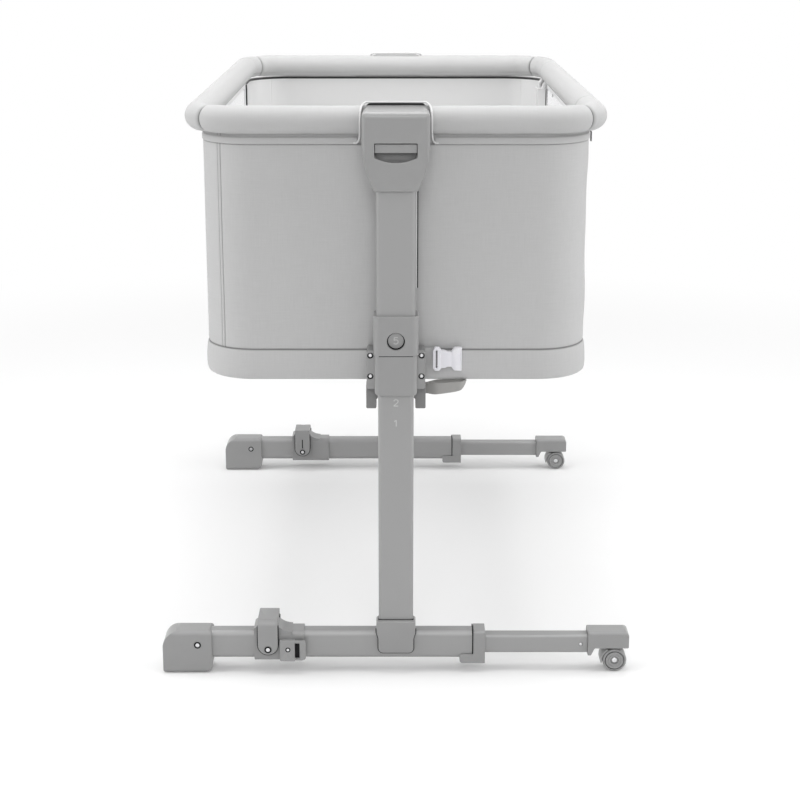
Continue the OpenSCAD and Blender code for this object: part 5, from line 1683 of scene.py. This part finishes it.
def cross_screw(name, head_r, head_t, dome):
    """A pan-head screw with a cross recess. Its head's underside is at the origin, and it faces -Y."""
    crown = ((0, -1), (0.35, -0.93), (0.7, -0.62), (0.93, -0.2), (1, 0.15))
    profile = [(head_r * r, dome * h) for r, h in crown] + [(head_r, head_t), (0, head_t)]
    head = lathe(name, profile, (0, 0, 0), (0, 1, 0), steps=28)
    arm, wide, deep = head_r * 0.66, head_r * 0.2, dome * 1.3
    one = block("cross", (-arm, -dome - 1, -wide), (arm, -dome + deep, wide))
    two = block("cross", (-wide, -dome - 1, -arm), (wide, -dome + deep, arm))
    cut(head, one, two)
    return smoothed(head, 35)


def shadow_ring(name, inner, outer, thick):
    """A flat black ring of painted shadow round a screw's head. Its back is at the origin, and it faces -Y.
    """
    edge = 0.2
    profile = [(inner, 0), (inner, -thick), (outer - edge, -thick), (outer, edge - thick), (outer, 0)]
    profile.append(profile[0])
    return smoothed(lathe(name, profile, (0, 0, 0), (0, 1, 0), steps=32), 35)


def copies(master, name, places, turns):
    """Joined copies of one master at these places in millimetres, each turned by its degrees."""
    made = []
    for place, degrees in zip(places, turns, strict=True):
        twin = twin_of(master, name)
        turn = Matrix.Rotation(math.radians(degrees), 4, "Z")
        twin.data.transform(Matrix.Translation(Vector(place) * MM) @ turn)
        made.append(twin)
    return joined(name, made)


# How deep a screw's head reaches into its piece, and where the cap's and the bracket's screws stand.
SCREW_T = 1.2
CAP_SCREW_X = -289
BLOCK_SCREW_X = -157


class CRIB_OT_screws(bpy.types.Operator):
    """Makes the cross-head screws of the clamps, caps, brackets and pedals"""

    bl_idname = "crib.screws"
    bl_label = "Screws"

    def execute(self, context):
        low, high = box_mm("clamp_screws")
        x, front = high[0] - 3.3, low[1] + 0.9
        head = cross_screw("clamp_screw", 2.8, SCREW_T, 0.9)
        ring = shadow_ring("clamp_shadow_ring", 2.4, 4.8, 0.7)
        places, turns = [], []
        for end in (-1, 1):
            for side in (-1, 1):
                for z in (low[2] + 3.3, high[2] - 3.3):
                    places.append((side * x, -end * front, z))
                    turns.append(0 if end < 0 else 180)
        heads = copies(head, "clamp_screws_finished", places, turns)
        dressed(heads, plated_steel(), "basket", ["clamp_screws"])
        # The black rings of painted shadow lie 0.9 mm nearer the crib's middle, on the cover.
        places = [(x, y * (1 - 0.9 / abs(y)), z) for x, y, z in places]
        rings = copies(ring, "clamp_screw_shadows", places, turns)
        dressed(rings, made_of("shadow_black"), "basket")
        for master in (head, ring):
            bpy.data.objects.remove(master)
        for end_name, end in ENDS.items():
            self.leg_set(end_name, end)
        return {"FINISHED"}

    def leg_set(self, end_name, end):
        """The cap's screws, the bracket's small screw and the pedal's two pivot screws."""
        low, high = box_mm("foot_tube_near")
        pedal_low, pedal_high = box_mm("pedal_near")
        pivot_x = (pedal_low[0] + pedal_high[0]) / 2
        cap_z = (low[2] + high[2]) / 2 + 2.0
        cap_front, cap_back = (corner[1] for corner in box_mm("foot_cap_near"))
        front = box_mm("leg_screws_near")[0][1]
        back = 2 * COLUMN_Y - front
        screws, rings = [], []
        for name, head_r, dome, place, outer in (
            ("cap", 3.4, 0.7, (CAP_SCREW_X, cap_front, cap_z), True),
            ("back_cap", 3.4, 0.7, (CAP_SCREW_X, cap_back, cap_z), False),
            ("block", 2.5, 0.6, (BLOCK_SCREW_X, front, low[2] + 19.0), True),
            ("front_pivot", 3.4, 0.6, (pivot_x, front, PIVOT_Z), True),
            ("back_pivot", 3.4, 0.6, (pivot_x, back, PIVOT_Z), False),
        ):
            turn = [0 if (end < 0) == outer else 180]
            spot = [(place[0], place[1] * -end, place[2])]
            screw = cross_screw(name, head_r, SCREW_T, dome)
            # Each screw head gets a black ring of painted shadow round it.
            ring = shadow_ring(name, head_r - 0.4, head_r * 1.5, 0.35)
            screws.append(copies(screw, name, spot, turn))
            rings.append(copies(ring, name, spot, turn))
            for master in (screw, ring):
                bpy.data.objects.remove(master)
        node, body = f"leg_screws_{end_name}", f"leg_{end_name}"
        dressed(joined(f"{node}_finished", screws), plated_steel(), body, [node])
        dressed(joined(f"leg_screw_rings_{end_name}", rings), made_of("shadow_black"), body)


# The middle of where a figure 0 would be, and the step between the figures.
FIGURES_LOW, FIGURE_STEP = 352, 30
# Each figure's strokes, in millimetres round its middle: corners, or points of a smooth curve where marked.
FIGURES = {
    1: [("line", (-2.3, 2.5), (0.5, 4.5)), ("line", (0.5, 4.6), (0.5, -4.6))],
    2: [
        (
            "curve", (-3.0, 2.3), (-2.1, 4.0), (0.1, 4.6), (2.4, 3.9), (3.0, 2.1), (2.0, 0.1), (-0.6, -2.2),
            (-3.0, -4.4),
        ),
        ("line", (-3.2, -4.6), (3.3, -4.6)),
    ],
    3: [
        ("curve", (-2.9, 3.5), (-1.0, 4.6), (1.5, 4.3), (2.6, 2.5), (1.3, 0.7), (-0.7, 0.3)),
        ("curve", (-0.7, 0.3), (1.8, -0.1), (3.0, -2.1), (1.8, -4.2), (-0.8, -4.6), (-3.1, -3.5)),
    ],
    4: [
        ("line", (1.3, -4.6), (1.3, 4.6)),
        ("line", (1.0, 4.4), (-3.1, -1.7)),
        ("line", (-3.2, -1.9), (3.3, -1.9)),
    ],
    5: [
        ("line", (2.8, 4.6), (-2.1, 4.6)),
        ("line", (-2.2, 4.6), (-2.7, 0.5)),
        ("curve", (-2.7, 0.5), (-0.4, 1.3), (2.0, 0.6), (3.0, -1.6), (1.9, -4.0), (-0.7, -4.7), (-3.1, -3.6)),
    ],
}


class CRIB_OT_height_numbers(bpy.types.Operator):
    """Prints the height numbers on the columns"""

    bl_idname = "crib.height_numbers"
    bl_label = "Height Numbers"

    def execute(self, context):
        front = box_mm("column_near")[0][1]
        ink = made_of("number_print")
        for end_name, end in ENDS.items():
            parts = []
            for number, strokes in FIGURES.items():
                level = FIGURES_LOW + FIGURE_STEP * number
                for kind, *corners in strokes:
                    flat = np.array(corners) * (-end, 1)
                    path = np.column_stack([flat[:, 0], np.zeros(len(flat)), flat[:, 1]])
                    path = curve_through(path, 0.5) if kind == "curve" else np.linspace(path[0], path[1], 8)
                    stroke = round_tube("stroke", path, 0.75, sides=10)
                    stroke.data.transform(Matrix.Diagonal((1, 0.14, 1, 1)))
                    stroke.data.transform(Matrix.Translation(Vector((0, front * -end, level)) * MM))
                    parts.append(faces_out(stroke))
            numbers = joined(f"numbers_{end_name}", parts)
            dressed(numbers, ink, f"leg_{end_name}")
        return {"FINISHED"}


WEBBING_T = 1.4


class CRIB_OT_strap(bpy.types.Operator):
    """Makes the webbing, its spare loop and the side-release buckle"""

    bl_idname = "crib.strap"
    bl_label = "Strap and Buckle"

    def execute(self, context):
        low, high = box_mm("buckle_plug")
        face = -CLOTH_Y - HEM_BULGE - 0.3
        route = [(40.5, face - 0.75), (48, face - 0.8), (54, face - 1.0), (60, face - 1.2)]
        band = self.band("strap_band", route, low[2] + 2.5, 29.0)
        loop = self.loop("strap_loop")
        dressed(smoothed(band, 45), made_of("wall_cloth"), "basket")
        web = made_of("strap_webbing_cloth")
        dressed(smoothed(loop, 45), web, "basket", ["strap_webbing"])
        self.buckle(low, high)
        return {"FINISHED"}

    def band(self, name, path, z0, width):
        """A flat band on edge, along a path in plan."""
        path = np.asarray(path, float)
        far = run_of(path)
        z = z0 + np.linspace(0, width, 7)
        p, zz = np.meshgrid(np.arange(len(path)), z, indexing="ij")
        points = np.stack([path[p, 0], path[p, 1], zz], -1)
        uv = np.stack([far[p], zz], -1)
        return thickened(grid_mesh(name, points, uv), WEBBING_T)

    def loop(self, name):
        """The spare webbing, folded back under the basket: its lower edge and its fold rise to the right."""
        run, wide = 58.0, 8.0
        start = (42.0, -415.0)
        fold = np.radians(np.linspace(90, -90, 13))
        out = np.linspace(0, run - wide, 14)
        plan = [(t, -wide * smoothstep(0, 18, t)) for t in out]
        plan += [(run - wide + wide * math.cos(a), -wide * math.sin(a)) for a in fold[1:-1]]
        plan += [(t, wide * smoothstep(0, 18, t)) for t in out[::-1]]
        plan = np.array(plan)
        share = plan[:, 0] / run
        behind = smoothstep(-wide, wide, plan[:, 1])
        top = HEM_LOW - 6.2 + 6.2 * share + 2.0 * behind * (1 - share)
        rise = 7.5 * share + 1.5 * share**3 + 2.4 * np.clip((share - 0.7) / 0.3, 0, 1) ** 2.2
        bottom = HEM_LOW - 23.0 + 1.15 * rise + 3.0 * behind
        rows = np.linspace(0, 1, 7)
        turn = math.radians(-5)
        x = start[0] + plan[:, 0] * math.cos(turn) - plan[:, 1] * math.sin(turn)
        y = start[1] + plan[:, 0] * math.sin(turn) + plan[:, 1] * math.cos(turn)
        z = bottom[:, None] * (1 - rows) + top[:, None] * rows
        lean = 3.0 * (1 - rows) ** 2 * smoothstep(0.85, 1.0, share)[:, None]
        points = np.stack([x[:, None] - lean, y[:, None] + 0.4 * lean, z], -1)
        obj = grid_mesh(name, points, np.stack([run_of(plan)[:, None] + 0 * z, z], -1))
        return thickened(obj, WEBBING_T)

    def buckle(self, low, high):
        """Plug frame with its strap slot, the latched body and the socket with slanted shoulders."""
        socket_low, socket_high = box_mm("buckle_socket")
        y0, y1 = low[1], high[1]
        mid = (low[2] + high[2]) / 2
        x0, s0, s1 = low[0], socket_low[0], socket_high[0]
        finish = made_of("buckle_plastic")

        def both_sides(upper):
            """An outline from its upper half, which runs from left to right."""
            return [(x, mid + h) for x, h in upper] + [(x, mid - h) for x, h in upper[::-1]]

        frame_edge = [(x0, 13), (x0 + 2.8, 17), (x0 + 9.2, 17), (x0 + 12, 13)]
        head = plate("head", both_sides(frame_edge), y0 + 0.2, y1, bevel=1.0)
        cut(head, block("slot", (x0 + 4.2, y0 - 2, mid - 12.8), (x0 + 6.8, y1 + 2, mid + 12.8), bevel=0.5))
        arms = [(x0 + 11, 13), (x0 + 17, 12.6), (x0 + 21, 10.8), (s0 + 2, 10.8)]
        body = plate("body", both_sides(arms), y0 + 0.5, y1 - 0.8, bevel=0.5)
        plug = smoothed(joined("buckle_plug_finished", [head, body]))
        dressed(plug, finish, "basket", ["buckle_plug"])
        front, back = socket_low[1], socket_high[1]
        shoulders = [(s0 - 1.2, 11.6), (s0 + 2.6, 16.6), (s1 - 0.6, 17), (s1, 16.4)]
        shell = plate("shell", both_sides(shoulders), front + 0.2, back, bevel=0.7)
        cut(shell, block("mouth", (s0 - 4, y0 + 0.9, mid - 14), (s0 + 3.0, y1 - 0.7, mid + 14), bevel=0.4))
        rib = block("rib", (s1 - 2.4, front - 0.4, mid - 15), (s1 - 0.4, front + 1.5, mid + 15), bevel=0.6)
        socket = smoothed(joined("buckle_socket_finished", [shell, rib]))
        dressed(socket, finish, "basket", ["buckle_socket"])


class CRIB_OT_casters(bpy.types.Operator):
    """Makes the twin wheels with tyre, dished hub and axle screw, and the rivets of the foot tubes"""

    bl_idname = "crib.casters"
    bl_label = "Casters"

    def execute(self, context):
        low, high = box_mm("wheels_near")
        axle_x = (low[0] + high[0]) / 2
        radius = (high[2] - low[2]) / 2
        half = (high[1] - low[1]) / 2
        thick = 9.0
        inner = half - thick
        # One wheel's section, from its inner face over the tread, the tyre's groove and the dished hub.
        tyre = [
            (2.5, 0.0), (radius - 1.2, 0.0), (radius - 0.3, 0.5), (radius, 1.5), (radius, thick - 1.9),
            (radius - 0.4, thick - 0.8), (radius - 1.5, thick - 0.2), (radius * 0.84, thick),
            (radius * 0.82, thick - 0.2), (radius * 0.815, thick - 3.6), (radius * 0.745, thick - 3.6),
            (radius * 0.74, thick - 0.2), (radius * 0.72, thick), (radius * 0.60, thick - 0.2),
            (radius * 0.54, thick - 0.8), (radius * 0.49, thick - 0.8), (radius * 0.45, thick - 0.2),
            (radius * 0.36, thick - 0.1), (radius * 0.34, thick - 0.4), (radius * 0.33, thick - 2.6),
            (2.5, thick - 2.6), (2.5, 0.0),
        ]
        rubber = made_of("wheel_plastic")
        for end_name, end in ENDS.items():
            parts = []
            for side in (-1, 1):
                at = (axle_x, COLUMN_Y * -end + side * inner, radius)
                parts.append(lathe("wheel", tyre, at, (0, side, 0), steps=64))
            wheels = smoothed(joined(f"wheels_{end_name}_finished", parts), 35)
            dressed(wheels, rubber, f"wheels_{end_name}", [f"wheels_{end_name}"])
            screw = cross_screw("axle", 4.0, SCREW_T, 0.8)
            ends = [(axle_x, COLUMN_Y * -end + side * (half - 1.35), radius) for side in (-1, 1)]
            axle = copies(screw, f"axle_screws_{end_name}", ends, [0, 180])
            bpy.data.objects.remove(screw)
            rod = [(0, -half + 2), (2.3, -half + 2), (2.3, half - 2), (0, half - 2)]
            pin = lathe("pin", rod, (axle_x, COLUMN_Y * -end, radius), (0, 1, 0), steps=20)
            axle = joined(f"axle_{end_name}", [axle, pin])
            dressed(smoothed(axle, 35), plated_steel(), f"wheels_{end_name}")
            self.rivet(end_name, end)
        return {"FINISHED"}

    def rivet(self, end_name, end):
        """The domed rivet on the inner tube's outer face."""
        rivet_x, face = 270, COLUMN_Y - 10.0
        low, high = box_mm("foot_tube_near")
        at = (rivet_x, face * -end, (low[2] + high[2]) / 2)
        out = (0, end, 0)
        profile = [(0, 1.3), (1.2, 1.1), (2.0, 0.6), (2.3, 0.0), (2.3, -0.4), (0, -0.4)]
        rivet = lathe(f"rivet_{end_name}", profile, at, out, steps=24)
        dressed(smoothed(rivet, 35), plated_steel(), f"slider_{end_name}")
        # A darker ring round the rivet: painted shade.
        profile = [(2.3, 0), (2.3, 0.25), (3.0, 0.25), (3.2, 0), (2.3, 0)]
        rim = lathe(f"rivet_shadow_rim_{end_name}", profile, at, out, steps=24)
        dressed(smoothed(rim, 35), made_of("shaded_grey_moulding"), f"slider_{end_name}")


STEPS = (
    CRIB_OT_stage,
    CRIB_OT_rail_pads,
    CRIB_OT_basket_cloth,
    CRIB_OT_side_nets,
    CRIB_OT_mattress,
    CRIB_OT_moulded_parts,
    CRIB_OT_screws,
    CRIB_OT_height_numbers,
    CRIB_OT_strap,
    CRIB_OT_casters,
)


class CRIB_PT_panel(bpy.types.Panel):
    """Sidebar panel with the crib's settings and steps"""

    bl_idname = "CRIB_PT_panel"
    bl_label = "Bedside Crib"
    bl_space_type = "VIEW_3D"
    bl_region_type = "UI"
    bl_category = "Crib"

    def draw(self, context):
        for group in (context.scene.crib_finish, context.scene.crib_sizes):
            column = self.layout.column()
            for name in group.__annotations__:
                column.prop(group, name)
        for step in STEPS:
            self.layout.operator(step.bl_idname)


CLASSES = (CribFinish, CribSizes, *STEPS, CRIB_PT_panel)


def register():
    """Adds the classes and the crib's settings."""
    for cls in CLASSES:
        bpy.utils.register_class(cls)
    bpy.types.Scene.crib_finish = PointerProperty(type=CribFinish)
    bpy.types.Scene.crib_sizes = PointerProperty(type=CribSizes)


def unregister():
    """Takes the settings and the classes away again."""
    del bpy.types.Scene.crib_sizes
    del bpy.types.Scene.crib_finish
    for cls in reversed(CLASSES):
        bpy.utils.unregister_class(cls)


def main():
    """Makes every piece."""
    register()
    for step in STEPS:
        group, action = step.bl_idname.split(".")
        getattr(getattr(bpy.ops, group), action)()


if __name__ == "__main__":
    main()
